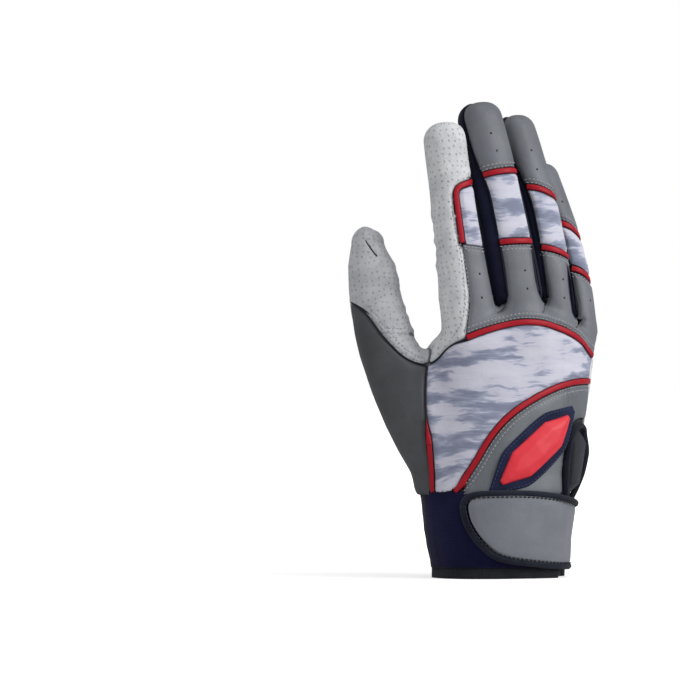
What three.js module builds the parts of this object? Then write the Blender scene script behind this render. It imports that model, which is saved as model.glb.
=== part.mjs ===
// A right-hand batting glove that stands on its cuff with the back of the hand facing -Y.
// X runs from the thumb side (-) to the little finger side (+), Z from the cuff rim to the fingertips.
// Every leather, cloth and trim piece is a thin closed sheet cut from one hand form, as on a glove last.
import * as THREE from 'three';

// Driving dimensions of the hand form, in millimetres
const palmHeight = 126;
const palmHalfWidth = 46.5;
const palmHalfDepth = 15.5;
const palmOffset = 13;
const wristHalfWidth = 33.8;
const wristHalfDepth = 24;
const knuckleCap = 11;
const archRadius = 111;
const archOffset = 4;
const crownRadius = 77;
const crownOffset = 10;
const fingerLengths = { index: 102, middle: 113.5, ring: 107.5, little: 87.5 };
const fingerBaseWidths = { index: 15.3, middle: 12.6, ring: 11.2, little: 9.7 };
const fingerTipWidths = { index: 10.3, middle: 10.7, ring: 9.7, little: 8.1 };
const fingerBaseDepths = { index: 12.5, middle: 12, ring: 11.6, little: 10.4 };
const fingerTipDepths = { index: 9.6, middle: 9.6, ring: 9.4, little: 8.2 };
const thumbLength = 138;
const thumbHalfWidth = 15.5;
const thumbHalfDepth = 14.8;

// Cuff, closure and trim
const cuffHeight = 44;
const rimHeight = 5;
const rimThickness = 2.6;
const leatherThickness = 1.1;
const backThickness = 1.3;
const stretchThickness = 1.2;
const sideClothThickness = 1;
const elasticThickness = 1.8;
const seamGap = 0.3;
const pipingWidth = 2.8;
const pipingRise = 0.5;
const bindingWidth = 3;
const bindingRise = 0.7;
const strapThickness = 1.9;
const tapeThickness = 1.1;
const strapClearance = 0.5;
const slitHeight = 77;
const badgeLength = 68;
const badgeHalfWidth = 11.7;
const badgeBaseThickness = 1;
const badgeFaceThickness = 1.4;
const badgeBorder = 2.6;
const webDrop = 4.5;
const fingerBlend = 2;
const palmBlend = 7;
const thumbBlend = 12;

// Shares of the sizes above that place the limbs. Start is from the palm centre at the knuckles,
// in palm half widths, palm half depths and palm heights; bend and end are in limb lengths.
const fingerShares = {
  index: { start: [-0.609, 0.065, 0.9365], bend: [-0.0755, 0.003, 0.497], end: [-0.0945, 0.112, 0.998] },
  middle: { start: [-0.011, -0.129, 0.9365], bend: [-0.0718, -0.0132, 0.496], end: [-0.137, 0.151, 0.9895] },
  ring: { start: [0.434, 0.194, 0.9365], bend: [-0.0344, -0.0065, 0.4977], end: [-0.1247, 0.1628, 0.9907] },
  little: { start: [0.828, 0.935, 0.9206], bend: [-0.0126, 0.0046, 0.503], end: [-0.1326, 0.1829, 0.9771] },
};
const thumbShares = {
  start: [-0.6667, 0.387, 0.3175], bend: [-0.2942, 0.1268, 0.4638], end: [-0.2703, 0.2246, 0.9312],
};
const rollAngles = { index: -4, middle: 4, ring: 18, little: 34, thumb: -35 };
const thumbProfileShares = [
  { along: 0, width: 0.935, depth: 1.014 }, { along: 0.3, width: 1, depth: 0.98 },
  { along: 0.6, width: 0.942, depth: 0.892 }, { along: 0.8, width: 0.852, depth: 0.797 },
  { along: 0.92, width: 0.748, depth: 0.703 }, { along: 1, width: 0.594, depth: 0.581 },
];
// Palm stations: height in palm heights, then how far each size has gone from wrist to palm
const palmStationShares = [
  { height: 0, width: 0, depth: 0, shift: -0.062, deep: 0 },
  { height: 0.159, width: 0.047, depth: -0.059, shift: -0.015, deep: 0 },
  { height: 0.349, width: 0.252, depth: 0, shift: 0.2, deep: 0 },
  { height: 0.556, width: 0.567, depth: 0.294, shift: 0.4615, deep: 0 },
  { height: 0.794, width: 0.921, depth: 0.647, shift: 0.769, deep: 0.032 },
  { height: 1, width: 1, depth: 1, shift: 1, deep: 0.097 },
];
const limbSteps = 12;
const halfTurn = 180;
const quarterTurn = 90;
const fullTurn = 360;
const fingerRoundness = 2.4;
const thumbRoundness = 2.2;
const palmRoundness = 2.5;
const taperShare = 1.6;
const spreadShare = 0.9;
const wristArchShare = 0.15;
const archHeightShare = 0.794;
const chartStepAngle = 5;
const drawLimitShare = 0.6;
const castStep = leatherThickness;

const radians = (degrees) => THREE.MathUtils.degToRad(degrees);
const mix = (from, to, share) => from + (to - from) * share;
const clampUnit = (value) => Math.min(1, Math.max(0, value));
const point = (x, y, z) => new THREE.Vector3(x, y, z);

// A limb is a curved axis with a lateral, a dorsal and a lengthwise direction at each station
function makeLimb(shares, rollAngle, length, roundness, sizeAt) {
  const start = point(
    palmOffset + palmHalfWidth * shares.start[0],
    palmHalfDepth * shares.start[1],
    palmHeight * shares.start[2],
  );
  const reach = (step) => start.clone().add(point(step[0], step[1], step[2]).multiplyScalar(length));
  const axis = new THREE.QuadraticBezierCurve3(start, reach(shares.bend), reach(shares.end));
  const roll = radians(rollAngle);
  const stations = [];
  for (let i = 0; i <= limbSteps; i += 1) {
    const along = i / limbSteps;
    const length3 = axis.getTangent(along);
    const lateral = point(Math.cos(roll), Math.sin(roll), 0);
    lateral.addScaledVector(length3, -lateral.dot(length3)).normalize();
    const dorsal = new THREE.Vector3().crossVectors(lateral, length3);
    const [width, depth] = sizeAt(along);
    stations.push({ centre: axis.getPoint(along), lateral, dorsal, lengthwise: length3, width, depth });
  }
  return { stations, roundness };
}

function fingerSize(name) {
  return (along) => {
    const taper = 1 - (1 - along) ** taperShare;
    return [
      mix(fingerBaseWidths[name], fingerTipWidths[name], taper),
      mix(fingerBaseDepths[name], fingerTipDepths[name], taper),
    ];
  };
}

function shareAt(table, key, along, value) {
  const last = table.length - 1;
  let i = 0;
  while (i < last - 1 && along > table[i + 1][key]) i += 1;
  const share = clampUnit((along - table[i][key]) / (table[i + 1][key] - table[i][key]));
  return mix(table[i][value], table[i + 1][value], share);
}

function thumbSize(along) {
  return [
    thumbHalfWidth * shareAt(thumbProfileShares, 'along', along, 'width'),
    thumbHalfDepth * shareAt(thumbProfileShares, 'along', along, 'depth'),
  ];
}

const limbs = { thumb: makeLimb(thumbShares, rollAngles.thumb, thumbLength, thumbRoundness, thumbSize) };
const fingerNames = Object.keys(fingerShares);
for (const name of fingerNames) {
  const size = fingerSize(name);
  limbs[name] = makeLimb(fingerShares[name], rollAngles[name], fingerLengths[name], fingerRoundness, size);
}

// The station of a limb at a share of its length, between its two neighbours
function stationAt(limb, along) {
  const place = clampUnit(along) * limbSteps;
  const i = Math.min(limbSteps - 1, Math.floor(place));
  const share = place - i;
  const near = limb.stations[i];
  const far = limb.stations[i + 1];
  return {
    centre: near.centre.clone().lerp(far.centre, share),
    lateral: near.lateral.clone().lerp(far.lateral, share),
    dorsal: near.dorsal.clone().lerp(far.dorsal, share),
    lengthwise: near.lengthwise.clone().lerp(far.lengthwise, share),
    width: mix(near.width, far.width, share),
    depth: mix(near.depth, far.depth, share),
  };
}

// Signed distance to a rounded section, from the ratio of a point to the section's edge
function sectionDistance(offsets, sizes, roundness) {
  let sum = 0;
  let square = 0;
  for (let i = 0; i < offsets.length; i += 1) {
    sum += (Math.abs(offsets[i]) / sizes[i]) ** roundness;
    square += offsets[i] * offsets[i];
  }
  const ratio = Math.max(sum ** (1 / roundness), Number.EPSILON);
  const reach = Math.sqrt(square);
  return reach - reach / ratio;
}

const probe = new THREE.Vector3();
const edge = new THREE.Vector3();
function limbDistance(place, limb) {
  let best = Infinity;
  let bestAlong = 0;
  for (let i = 0; i < limbSteps; i += 1) {
    const near = limb.stations[i].centre;
    edge.subVectors(limb.stations[i + 1].centre, near);
    probe.subVectors(place, near);
    const share = clampUnit(probe.dot(edge) / edge.lengthSq());
    const gap = probe.addScaledVector(edge, -share).lengthSq();
    if (gap < best) {
      best = gap;
      bestAlong = (i + share) / limbSteps;
    }
  }
  const station = stationAt(limb, bestAlong);
  const offset = place.clone().sub(station.centre);
  const offsets = [offset.dot(station.lateral), offset.dot(station.dorsal), offset.dot(station.lengthwise)];
  const { width, depth } = station;
  return sectionDistance(offsets, [width, depth, Math.min(width, depth)], limb.roundness);
}

function palmSection(z) {
  const at = (value) => shareAt(palmStationShares, 'height', z / palmHeight, value);
  return {
    x: palmOffset * at('shift'),
    y: palmHalfDepth * at('deep'),
    width: mix(wristHalfWidth, palmHalfWidth, at('width')),
    depth: mix(wristHalfDepth, palmHalfDepth, at('depth')),
  };
}

// The palm's cross arch, which flattens towards the wrist
function archAt(x, z) {
  const strength = Math.min(1, Math.max(wristArchShare, z / (palmHeight * archHeightShare)));
  return strength * (x - archOffset) ** 2 / (archRadius + archRadius);
}

function palmDistance(place) {
  const section = palmSection(place.z);
  const crown = (place.x - crownOffset) ** 2 / (crownRadius + crownRadius);
  const above = Math.max(place.z + crown - palmHeight, 0);
  const offsets = [place.x - section.x, place.y - archAt(place.x, place.z) - section.y, above];
  return sectionDistance(offsets, [section.width, section.depth, knuckleCap], palmRoundness);
}

function blend(first, second, width) {
  const overlap = Math.max(width - Math.abs(first - second), 0) / width;
  return Math.min(first, second) - overlap * overlap * width / 4;
}

function handDistance(place) {
  let distance = Infinity;
  for (const name of fingerNames) {
    const finger = limbDistance(place, limbs[name]);
    distance = distance === Infinity ? finger : blend(distance, finger, fingerBlend);
  }
  distance = blend(distance, palmDistance(place), palmBlend);
  return blend(distance, limbDistance(place, limbs.thumb), thumbBlend);
}

const probeStep = leatherThickness / 5;
function normalAt(place) {
  const slope = (axis) => {
    const ahead = place.clone();
    const behind = place.clone();
    ahead[axis] += probeStep;
    behind[axis] -= probeStep;
    return (handDistance(ahead) - handDistance(behind)) / (probeStep + probeStep);
  };
  return point(slope('x'), slope('y'), slope('z'));
}

// Moves a point along the slope of the distance until it lies on the form
function settle(place) {
  const spot = place.clone();
  for (let i = 0; i < limbSteps; i += 1) {
    const slope = normalAt(spot);
    const distance = handDistance(spot);
    spot.addScaledVector(slope, -distance / Math.max(slope.lengthSq(), taperShare / limbSteps));
    if (Math.abs(distance) < probeStep / limbSteps) break;
  }
  return spot;
}

// A point of the palm and cuff, by height and by angle: 0 back of hand, 90 little finger side
function palmPoint(height, angle) {
  const section = palmSection(height);
  const turn = radians(angle);
  const x = section.x + (section.width - section.depth) * spreadShare * Math.sin(turn);
  const from = point(x, archAt(x, height) + section.y, height);
  const toward = point(Math.sin(turn), -Math.cos(turn), 0);
  const stride = leatherThickness;
  let inside = 0;
  let outside = stride;
  while (handDistance(from.clone().addScaledVector(toward, outside)) < 0) {
    inside = outside;
    outside += stride;
  }
  for (let i = 0; i < limbSteps; i += 1) {
    const middle = (inside + outside) / 2;
    if (handDistance(from.clone().addScaledVector(toward, middle)) < 0) inside = middle;
    else outside = middle;
  }
  return from.addScaledVector(toward, (inside + outside) / 2);
}

// The height and angle that palmPoint would take to reach a place, with the angle past a given start
function palmChart(spot, startAngle) {
  const section = palmSection(spot.z);
  const aside = (angle) => {
    const turn = radians(angle);
    const x = section.x + (section.width - section.depth) * spreadShare * Math.sin(turn);
    const offset = [spot.x - x, spot.y - archAt(x, spot.z) - section.y];
    return {
      cross: offset[0] * Math.cos(turn) + offset[1] * Math.sin(turn),
      ahead: offset[0] * Math.sin(turn) - offset[1] * Math.cos(turn),
    };
  };
  let low = startAngle;
  while (low < startAngle + fullTurn) {
    const [near, far] = [aside(low), aside(low + chartStepAngle)];
    if (near.cross > 0 && far.cross <= 0 && near.ahead > 0) break;
    low += chartStepAngle;
  }
  let high = low + chartStepAngle;
  for (let i = 0; i < limbSteps; i += 1) {
    const middle = (low + high) / 2;
    if (aside(middle).cross > 0) low = middle;
    else high = middle;
  }
  return point(spot.z, (low + high) / 2, 0);
}

// A point of a finger or the thumb, by share of its length and by angle from the back of the limb.
// Shares past 1 go over the rounded end, with 2 at its top.
function limbPoint(name, along, angle) {
  const limb = limbs[name];
  const station = stationAt(limb, along);
  const turn = radians(angle);
  const over = radians(quarterTurn) * clampUnit(along - 1);
  const spot = station.centre.clone();
  spot.addScaledVector(station.lateral, station.width * Math.sin(turn) * Math.cos(over));
  spot.addScaledVector(station.dorsal, station.depth * Math.cos(turn) * Math.cos(over));
  spot.addScaledVector(station.lengthwise, Math.min(station.width, station.depth) * Math.sin(over));
  return settle(spot);
}

// Points at equal steps along a chain of points
function spaced(chain, count) {
  const lengths = [0];
  for (let i = 1; i < chain.length; i += 1) lengths.push(lengths[i - 1] + chain[i].distanceTo(chain[i - 1]));
  const total = lengths[lengths.length - 1];
  const result = [];
  let i = 1;
  for (let k = 0; k < count; k += 1) {
    const target = total * k / (count - 1);
    while (i < chain.length - 1 && lengths[i] < target) i += 1;
    const step = Math.max(lengths[i] - lengths[i - 1], Number.EPSILON);
    result.push(chain[i - 1].clone().lerp(chain[i], clampUnit((target - lengths[i - 1]) / step)));
  }
  return result;
}

// Fills the space between four seams: rows run from the bottom seam to the top seam
function fill(bottom, top, left, right, place = settle) {
  const across = bottom.length - 1;
  const up = left.length - 1;
  const rows = [];
  for (let i = 0; i <= up; i += 1) {
    const v = i / up;
    const row = [];
    for (let j = 0; j <= across; j += 1) {
      const u = j / across;
      const spot = bottom[j].clone().lerp(top[j], v).add(left[i].clone().lerp(right[i], u));
      const low = bottom[0].clone().lerp(bottom[across], u);
      const high = top[0].clone().lerp(top[across], u);
      spot.sub(low.lerp(high, v));
      const onEdge = i === 0 || i === up || j === 0 || j === across;
      row.push(onEdge ? spot : place(spot));
    }
    rows.push(row);
  }
  return rows;
}

// Moves a point straight out or in, square to the palm's axis at an angle, on to the nearest surface
function cast(spot, angle) {
  const toward = point(Math.sin(radians(angle)), -Math.cos(radians(angle)), 0);
  const distanceAt = (reach) => handDistance(spot.clone().addScaledVector(toward, reach));
  const leaves = (from) => distanceAt(from) < 0 && distanceAt(from + castStep) >= 0;
  let inside = 0;
  while (!leaves(inside) && inside < palmHalfDepth) inside = inside < 0 ? -inside : -inside - castStep;
  let outside = inside + castStep;
  for (let i = 0; i < limbSteps; i += 1) {
    const middle = (inside + outside) / 2;
    if (distanceAt(middle) < 0) inside = middle;
    else outside = middle;
  }
  return spot.clone().addScaledVector(toward, (inside + outside) / 2);
}

// Fills the space between four seams of the palm. Each point is laid on the form along the way that
// the skin faces there, given by the angles that it turns through from the left seam to the right.
function fillPalm(bottom, top, left, right, facingAngles) {
  const net = fill(bottom, top, left, right, (spot) => spot);
  const last = facingAngles.length - 1;
  return net.map((row, i) => row.map((spot, j) => {
    if (i === 0 || i === net.length - 1 || j === 0 || j === row.length - 1) return spot;
    const place = (j / (row.length - 1)) * last;
    const k = Math.min(last - 1, Math.floor(place));
    return cast(spot, mix(facingAngles[k], facingAngles[k + 1], place - k));
  }));
}

// Draws one end of a line of points in by a distance measured square to the seam it meets
function drawIn(line, nextLine, distance) {
  const total = line.reduce((sum, spot, i) => (i ? sum + spot.distanceTo(line[i - 1]) : 0), 0);
  const along = line[1].clone().sub(line[0]).normalize();
  const seamWay = nextLine[0].clone().sub(line[0]);
  const slant = seamWay.length() < Number.EPSILON ? 0 : Math.abs(along.dot(seamWay.normalize()));
  const square = Math.sqrt(Math.max(1 - slant * slant, taperShare / limbSteps));
  let left = Math.min(distance / square, total * drawLimitShare);
  let i = 0;
  while (i < line.length - 2 && line[i].distanceTo(line[i + 1]) < left) {
    left -= line[i].distanceTo(line[i + 1]);
    i += 1;
  }
  const start = line[i].clone().lerp(line[i + 1], left / line[i].distanceTo(line[i + 1]));
  const moved = line.slice(0, i + 1).map((_, k) => start.clone().lerp(line[i + 1], k / (i + 1)));
  return [...moved, ...line.slice(i + 1)];
}

function drawLines(lines, startGap, endGap) {
  const gapAt = (gap, i) => (typeof gap === 'function' ? gap(i / (lines.length - 1)) : gap);
  const flip = (line) => [...line].reverse();
  const drawStarts = (all, gap) => all.map((line, i) => {
    const distance = gapAt(gap, i);
    return distance ? drawIn(line, all[i + 1] ?? all[i - 1], distance) : line;
  });
  return drawStarts(drawStarts(lines, startGap).map(flip), endGap).map(flip);
}

const transpose = (rows) => rows[0].map((_, j) => rows.map((row) => row[j]));

// Cuts a sheet back from the seams on its four sides
function trim(rows, gaps) {
  const columns = drawLines(transpose(rows), gaps.bottom ?? 0, gaps.top ?? 0);
  return drawLines(transpose(columns), gaps.left ?? 0, gaps.right ?? 0);
}

// Collects triangles by corner and joins equal corners
class Surface {
  constructor() {
    this.corners = [];
    this.indices = [];
    this.known = new Map();
  }

  corner(spot) {
    const key = [spot.x, spot.y, spot.z].map((value) => value.toFixed(3)).join(' ');
    if (!this.known.has(key)) {
      this.known.set(key, this.corners.length / 3);
      this.corners.push(spot.x, spot.y, spot.z);
    }
    return this.known.get(key);
  }

  triangle(a, b, c) {
    const [i, j, k] = [a, b, c].map((spot) => this.corner(spot));
    if (i !== j && j !== k && k !== i) this.indices.push(i, j, k);
  }

  quad(a, b, c, d) {
    this.triangle(a, b, c);
    this.triangle(a, c, d);
  }

  geometry() {
    const geometry = new THREE.BufferGeometry();
    geometry.setAttribute('position', new THREE.Float32BufferAttribute(this.corners, 3));
    geometry.setIndex(this.indices);
    geometry.computeVertexNormals();
    return geometry;
  }
}

// Adds both faces of a thin sheet and its rim, which stays open where the sheet goes on in another net
function addNets(surface, outer, inner, goesOn = () => false) {
  const up = outer.length - 1;
  const across = outer[0].length - 1;
  for (let i = 0; i < up; i += 1) {
    for (let j = 0; j < across; j += 1) {
      surface.quad(outer[i][j], outer[i][j + 1], outer[i + 1][j + 1], outer[i + 1][j]);
      surface.quad(inner[i][j], inner[i + 1][j], inner[i + 1][j + 1], inner[i][j + 1]);
    }
    if (!goesOn('left', i)) surface.quad(outer[i][0], outer[i + 1][0], inner[i + 1][0], inner[i][0]);
    if (!goesOn('right', i)) {
      surface.quad(outer[i][across], inner[i][across], inner[i + 1][across], outer[i + 1][across]);
    }
  }
  for (let j = 0; j < across; j += 1) {
    surface.quad(outer[0][j], inner[0][j], inner[0][j + 1], outer[0][j + 1]);
    surface.quad(outer[up][j], outer[up][j + 1], inner[up][j + 1], inner[up][j]);
  }
}
function closeNets(outer, inner) {
  const surface = new Surface();
  addNets(surface, outer, inner);
  return surface.geometry();
}

// The outward direction at a place, kept level on pieces that stand upright
function outwardAt(spot, level) {
  const normal = normalAt(spot);
  if (level) normal.z = 0;
  return normal.normalize();
}
const liftOf = (lift, spot) => (typeof lift === 'function' ? lift(spot) : lift);

// A sheet of the given thickness under the net, or over it when it is lifted
function faces(rows, thickness, lift = 0, level = false) {
  const normals = rows.map((row) => row.map((spot) => outwardAt(spot, level)));
  return [0, thickness].map((depth) => rows.map((row, i) => row.map((spot, j) => (
    spot.clone().addScaledVector(normals[i][j], liftOf(lift, spot) - depth)
  ))));
}
const sheet = (rows, thickness, lift, level) => closeNets(...faces(rows, thickness, lift, level));

// A closed bar through a chain of like sections
function sweep(sections) {
  const surface = new Surface();
  const last = sections.length - 1;
  const sides = sections[0].length;
  for (let i = 0; i < last; i += 1) {
    for (let j = 0; j < sides; j += 1) {
      const k = (j + 1) % sides;
      surface.quad(sections[i][j], sections[i + 1][j], sections[i + 1][k], sections[i][k]);
    }
  }
  for (let j = 1; j < sides - 1; j += 1) {
    surface.triangle(sections[0][0], sections[0][j], sections[0][j + 1]);
    surface.triangle(sections[last][0], sections[last][j + 1], sections[last][j]);
  }
  return surface.geometry();
}

// A flat-topped bead along a line of points on the form, sunk by its depth
const beadShares = [
  { side: 1, rise: 0 }, { side: 0.65, rise: 1 }, { side: -0.65, rise: 1 }, { side: -1, rise: 0 },
];
function bead(line, width, rise, depth, lift = 0, level = false) {
  return sweep(line.map((spot, i) => {
    const ahead = line[Math.min(i + 1, line.length - 1)];
    const behind = line[Math.max(i - 1, 0)];
    const normal = outwardAt(spot, level);
    const side = new THREE.Vector3().crossVectors(ahead.clone().sub(behind), normal).normalize();
    const seat = liftOf(lift, spot);
    const at = (share, height) => (
      spot.clone().addScaledVector(side, share * width / 2).addScaledVector(normal, height)
    );
    const crown = beadShares.map((share) => at(share.side, seat + rise * share.rise));
    return [...crown, at(-1, seat - depth), at(1, seat - depth)];
  }));
}

// A line of points moved sideways over the form, to the right of its run as seen from outside
function aside(line, distance) {
  return line.map((spot, i) => {
    const ahead = line[Math.min(i + 1, line.length - 1)];
    const behind = line[Math.max(i - 1, 0)];
    const side = new THREE.Vector3().crossVectors(ahead.clone().sub(behind), normalAt(spot)).normalize();
    return spot.clone().addScaledVector(side, distance);
  });
}

// Cuts a line of points back at its ends
function shorten(line, startGap, endGap = startGap) {
  return drawLines([line, line.map((spot) => spot.clone())], startGap, endGap)[0];
}

// Finishes
const greyLeather = { color: 0x74777f, roughness: 0.55, metalness: 0 };
const darkLeather = { color: 0x4a4b4f, roughness: 0.6, metalness: 0 };
const whiteLeather = { color: 0xc4c5ca, roughness: 0.7, metalness: 0 };
const stretchCloth = { color: 0xc9cad8, roughness: 0.85, metalness: 0 };
const navyCloth = { color: 0x1b1f36, roughness: 0.9, metalness: 0 };
const redFilm = { color: 0xa5142a, roughness: 0.45, metalness: 0 };
const coralRubber = { color: 0xe8404c, roughness: 0.5, metalness: 0 };
const navyBinding = { color: 0x20242f, roughness: 0.8, metalness: 0 };
const blackTape = { color: 0x1c1d20, roughness: 0.95, metalness: 0 };

const glove = new THREE.Group();
function add(name, geometry, finish) {
  const mesh = new THREE.Mesh(geometry, new THREE.MeshStandardMaterial(finish));
  mesh.name = name;
  glove.add(mesh);
}

// Seams of the hand: height as a share of the way from the cuff's top to the palm's top, and angle
// round the palm in degrees
const edgeGap = seamGap / 2;
const pipedGap = pipingWidth / 2 + seamGap + edgeGap;
const pipingEndGap = seamGap + seamGap;
const littleSeamAngle = 80;
const elasticSeamAngle = -97;
const radialSeamAngle = -128;
const thenarSeamAngle = 212;
const handHeight = palmHeight - cuffHeight;
const knuckleSeamShares = [
  [0.9339, -52], [0.9693, -41], [1.0092, -25.5], [1.0361, -8.5], [1.0246, 8], [0.9846, 24.5], [0.9339, 41],
  [0.8771, 60], [0.8233, littleSeamAngle],
];
const diagonalSeamShares = [
  [0, -66], [0.0719, -54], [0.1902, -42.5], [0.3193, -32.5], [0.4391, -20], [0.5098, -9.5], [0.5682, 2.5],
  [0.6266, 17.5], [0.6604, 36], [0.6681, 56], [0.6666, littleSeamAngle],
];
const stretchSideShares = [
  [0, -88], [0.1841, -86.5], [0.3562, -87.5], [0.4607, -89.5], [0.5544, -91.5], [0.6773, -96], [0.7695, -101],
];
const crotchSeamShares = [
  [0.7695, -101], [0.7941, -91], [0.8674, -74.5], [0.9155, -60], [0.9339, -52],
];
// The wrist slit and the edges beside it, in shares of the way from the cuff's top to the slit's top
const slitShares = [
  [0, 40], [0.3084, 38.5], [0.652, 39], [0.9003, 43], [1, 54], [0.9385, 66], [0.6903, 74], [0.3467, 78],
  [0, 83],
];
const slitLipShares = [
  [0, 36], [0.3084, 34.5], [0.652, 35], [0.9423, 37.5], [1.0951, 48], [1.1028, 62], [1.0797, littleSeamAngle],
];
const slitSideShares = [[0, 87], [0.3467, 82], [0.6903, 78.5], [1.0797, littleSeamAngle]];
const littleSideShares = [[0.6666, littleSeamAngle], [0.8233, littleSeamAngle]];
const thenarSeamShares = [
  [0, thenarSeamAngle], [0.2317, 207], [0.4161, 206], [0.6005, 212], [0.7541, 226],
];
const radialSeamShares = [
  [0, radialSeamAngle], [0.2317, radialSeamAngle], [0.4161, radialSeamAngle], [0.6005, radialSeamAngle],
];
const lowerBackStartAngle = -57;
const lowerBackHemShare = 0.5;
const sidePipingShare = 0.3623;

// Seams of the thumb as share of its length and angle from its back
const thumbEdgeShares = [
  [0.79, -72], [0.777, -57], [0.742, -28], [0.704, -13], [0.669, -6], [0.633, 1], [0.59, 13.6], [0.544, 26],
  [0.505, 41], [0.489, 59],
];
const thumbCutShares = { middle: 0.7025, tilt: 0.094, angle: -80 };
const thumbRidgeShares = [[0.6, 120]];
const radialOnThumbShares = [[0.7, -80]];
const saddleShares = { onThumb: [0.54, 92], onPalm: [0.8924, -92] };
const thumbRidgeAngle = 130;
const thumbRadialAngle = -72;
const thumbTipJointShare = 0.88;
const thumbSlitAngle = 150;

// Counts of points along the seams
const seamCount = 17;
const sideCount = 10;
const thumbEdgeCount = 12;
const fewCount = 4;
const webRowCount = 5;
const crotchCount = 5;
const thenarCount = 6;

const sampled = (from, to, count) => Array.from({ length: count }, (_, i) => mix(from, to, i / (count - 1)));
const joined = (...lines) => lines.flatMap((line, i) => (i ? line.slice(1) : line));
const heightOnHand = (share) => cuffHeight + handHeight * share;
const heightOnCuff = (share) => cuffHeight * share;
const heightOnSlit = (share) => cuffHeight + (slitHeight - cuffHeight) * share;
const onPalm = ([share, angle]) => palmPoint(heightOnHand(share), angle);
const onSlit = ([share, angle]) => palmPoint(heightOnSlit(share), angle);
const onThumb = ([along, angle]) => limbPoint('thumb', along, angle);
const onSeam = (places, count) => spaced(places, count).map(settle);

// A smooth seam through places given as height share and angle
function palmSeam(shares, count, heightAt = heightOnHand) {
  const places = shares.map(([share, angle]) => point(heightAt(share) * fullTurn / palmHeight, angle, 0));
  const spots = new THREE.CatmullRomCurve3(places).getSpacedPoints(count - 1);
  return spots.map(({ x, y }) => palmPoint(x * palmHeight / fullTurn, y));
}
const hemLine = (from, to, count) => sampled(from, to, count).map((angle) => onPalm([0, angle]));

const knuckleSeam = palmSeam(knuckleSeamShares, seamCount);
const diagonalSeam = palmSeam(diagonalSeamShares, seamCount);
const stretchSide = palmSeam(stretchSideShares, sideCount);
const crotchSeam = palmSeam(crotchSeamShares, crotchCount);
const slitSeam = palmSeam(slitShares, seamCount, heightOnSlit);

// Seams of the thumb and of the crotch between thumb and palm
const thumbCut = (angle) => (
  thumbCutShares.middle + thumbCutShares.tilt * Math.cos(radians(angle - thumbCutShares.angle))
);
const thumbArc = (from, to, count) => (
  sampled(from, to, count).map((angle) => onThumb([thumbCut(angle), angle]))
);
const stretchTop = stretchSide[sideCount - 1];
const saddleTop = settle(onThumb(saddleShares.onThumb).lerp(onPalm(saddleShares.onPalm), 1 / 2));
const thumbEdge = onSeam([...thumbEdgeShares.map(onThumb), stretchTop], thumbEdgeCount);
const radialSeam = onSeam(
  [...radialSeamShares.map(onPalm), ...radialOnThumbShares.map(onThumb), thumbEdge[0]],
  sideCount,
);
const ridge = onSeam(
  [onThumb([thumbCut(thumbRidgeAngle), thumbRidgeAngle]), ...thumbRidgeShares.map(onThumb), saddleTop],
  fewCount,
);
const thumbRidge = ridge.slice(0, fewCount - 1);
const ridgeEnd = thumbRidge[fewCount - 2];
const saddleLine = onSeam([ridgeEnd, saddleTop, stretchTop], crotchCount);
const thenarSeam = palmSeam(thenarSeamShares, thenarCount);
const thenarTop = thenarSeam[thenarCount - 1];
const thenarRise = onSeam([thenarTop, ridgeEnd], fewCount);
const crotchLine = joined(thenarRise, saddleLine, crotchSeam);

// Joint lines and panel edges of the fingers. Each pair of shares is at the thumb side and at the
// little finger side; each pair of angles is the range that the piece covers round the finger.
const baseJointShares = {
  index: [0.215, 0.215], middle: [0.21, 0.21], ring: [0.215, 0.165], little: [0.195, 0.15],
};
const middleJointShares = { index: 0.62, middle: 0.61, ring: 0.565, little: 0.565 };
const backEdgeAngles = { index: [-10, 60], middle: [-54, 50], ring: [-57, 52], little: [-58, 86] };
const palmEdgeAngles = { index: [128, 350], middle: [128, 232], ring: [128, 232], little: [86, 232] };
const indexTurnAngle = 205;
const sideTaperShares = [0.7, 0.9];
const sideEndShare = 0.88;
const sideReachAngle = 60;
const lowerInsertShares = {
  index: [0.5, 0.458], middle: [0.457, 0.438], ring: [0.457, 0.385], little: [0.462, 0.35],
};
const upperInsertShares = { middle: [0.755, 0.755], ring: [0.745, 0.66], little: [0.731, 0.6] };
const arcStepAngle = 18;

// A share of the finger's length that changes from its thumb side to its little finger side
function slantedShare([radial, ulnar], angle) {
  return mix(radial, ulnar, (1 + Math.sin(radians(angle))) / 2);
}
const baseShare = (name, angle) => slantedShare(baseJointShares[name], angle);

// A side edge closes on the finger's side seam towards the tip
function edgeAngle(angle, along) {
  const side = halfTurn * Math.round((angle - quarterTurn) / halfTurn) + quarterTurn;
  if (Math.abs(angle - side) > sideReachAngle) return angle;
  const [from, to] = sideTaperShares;
  return mix(angle, side, clampUnit((along - from) / (to - from)));
}

// Equal steps round a finger
const arcAngles = ([from, to]) => sampled(from, to, Math.ceil((to - from) / arcStepAngle) + 1);

// The lowest point of the slot between two fingers, on its back, middle or palm side
const webPairs = [['index', 'middle'], ['middle', 'ring'], ['ring', 'little']];
const webBackAngle = 70;
const webPalmAngle = 118;
function webPoint([radialFinger, ulnarFinger], angle) {
  const first = limbPoint(radialFinger, baseShare(radialFinger, angle), angle);
  const second = limbPoint(ulnarFinger, baseShare(ulnarFinger, -angle), -angle);
  const low = first.lerp(second, 1 / 2);
  low.z -= webDrop;
  return settle(low);
}
const baseArc = (name, angles) => angles.map((angle) => limbPoint(name, baseShare(name, angle), angle));
const knuckleTop = fingerNames.flatMap((name, i) => {
  const arc = baseArc(name, arcAngles(backEdgeAngles[name]));
  return i < webPairs.length ? [...arc, webPoint(webPairs[i], webBackAngle)] : arc;
});
const indexPalmAngles = joined(
  arcAngles([palmEdgeAngles.index[0], indexTurnAngle]),
  sampled(indexTurnAngle, palmEdgeAngles.index[1], crotchLine.length),
);
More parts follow.
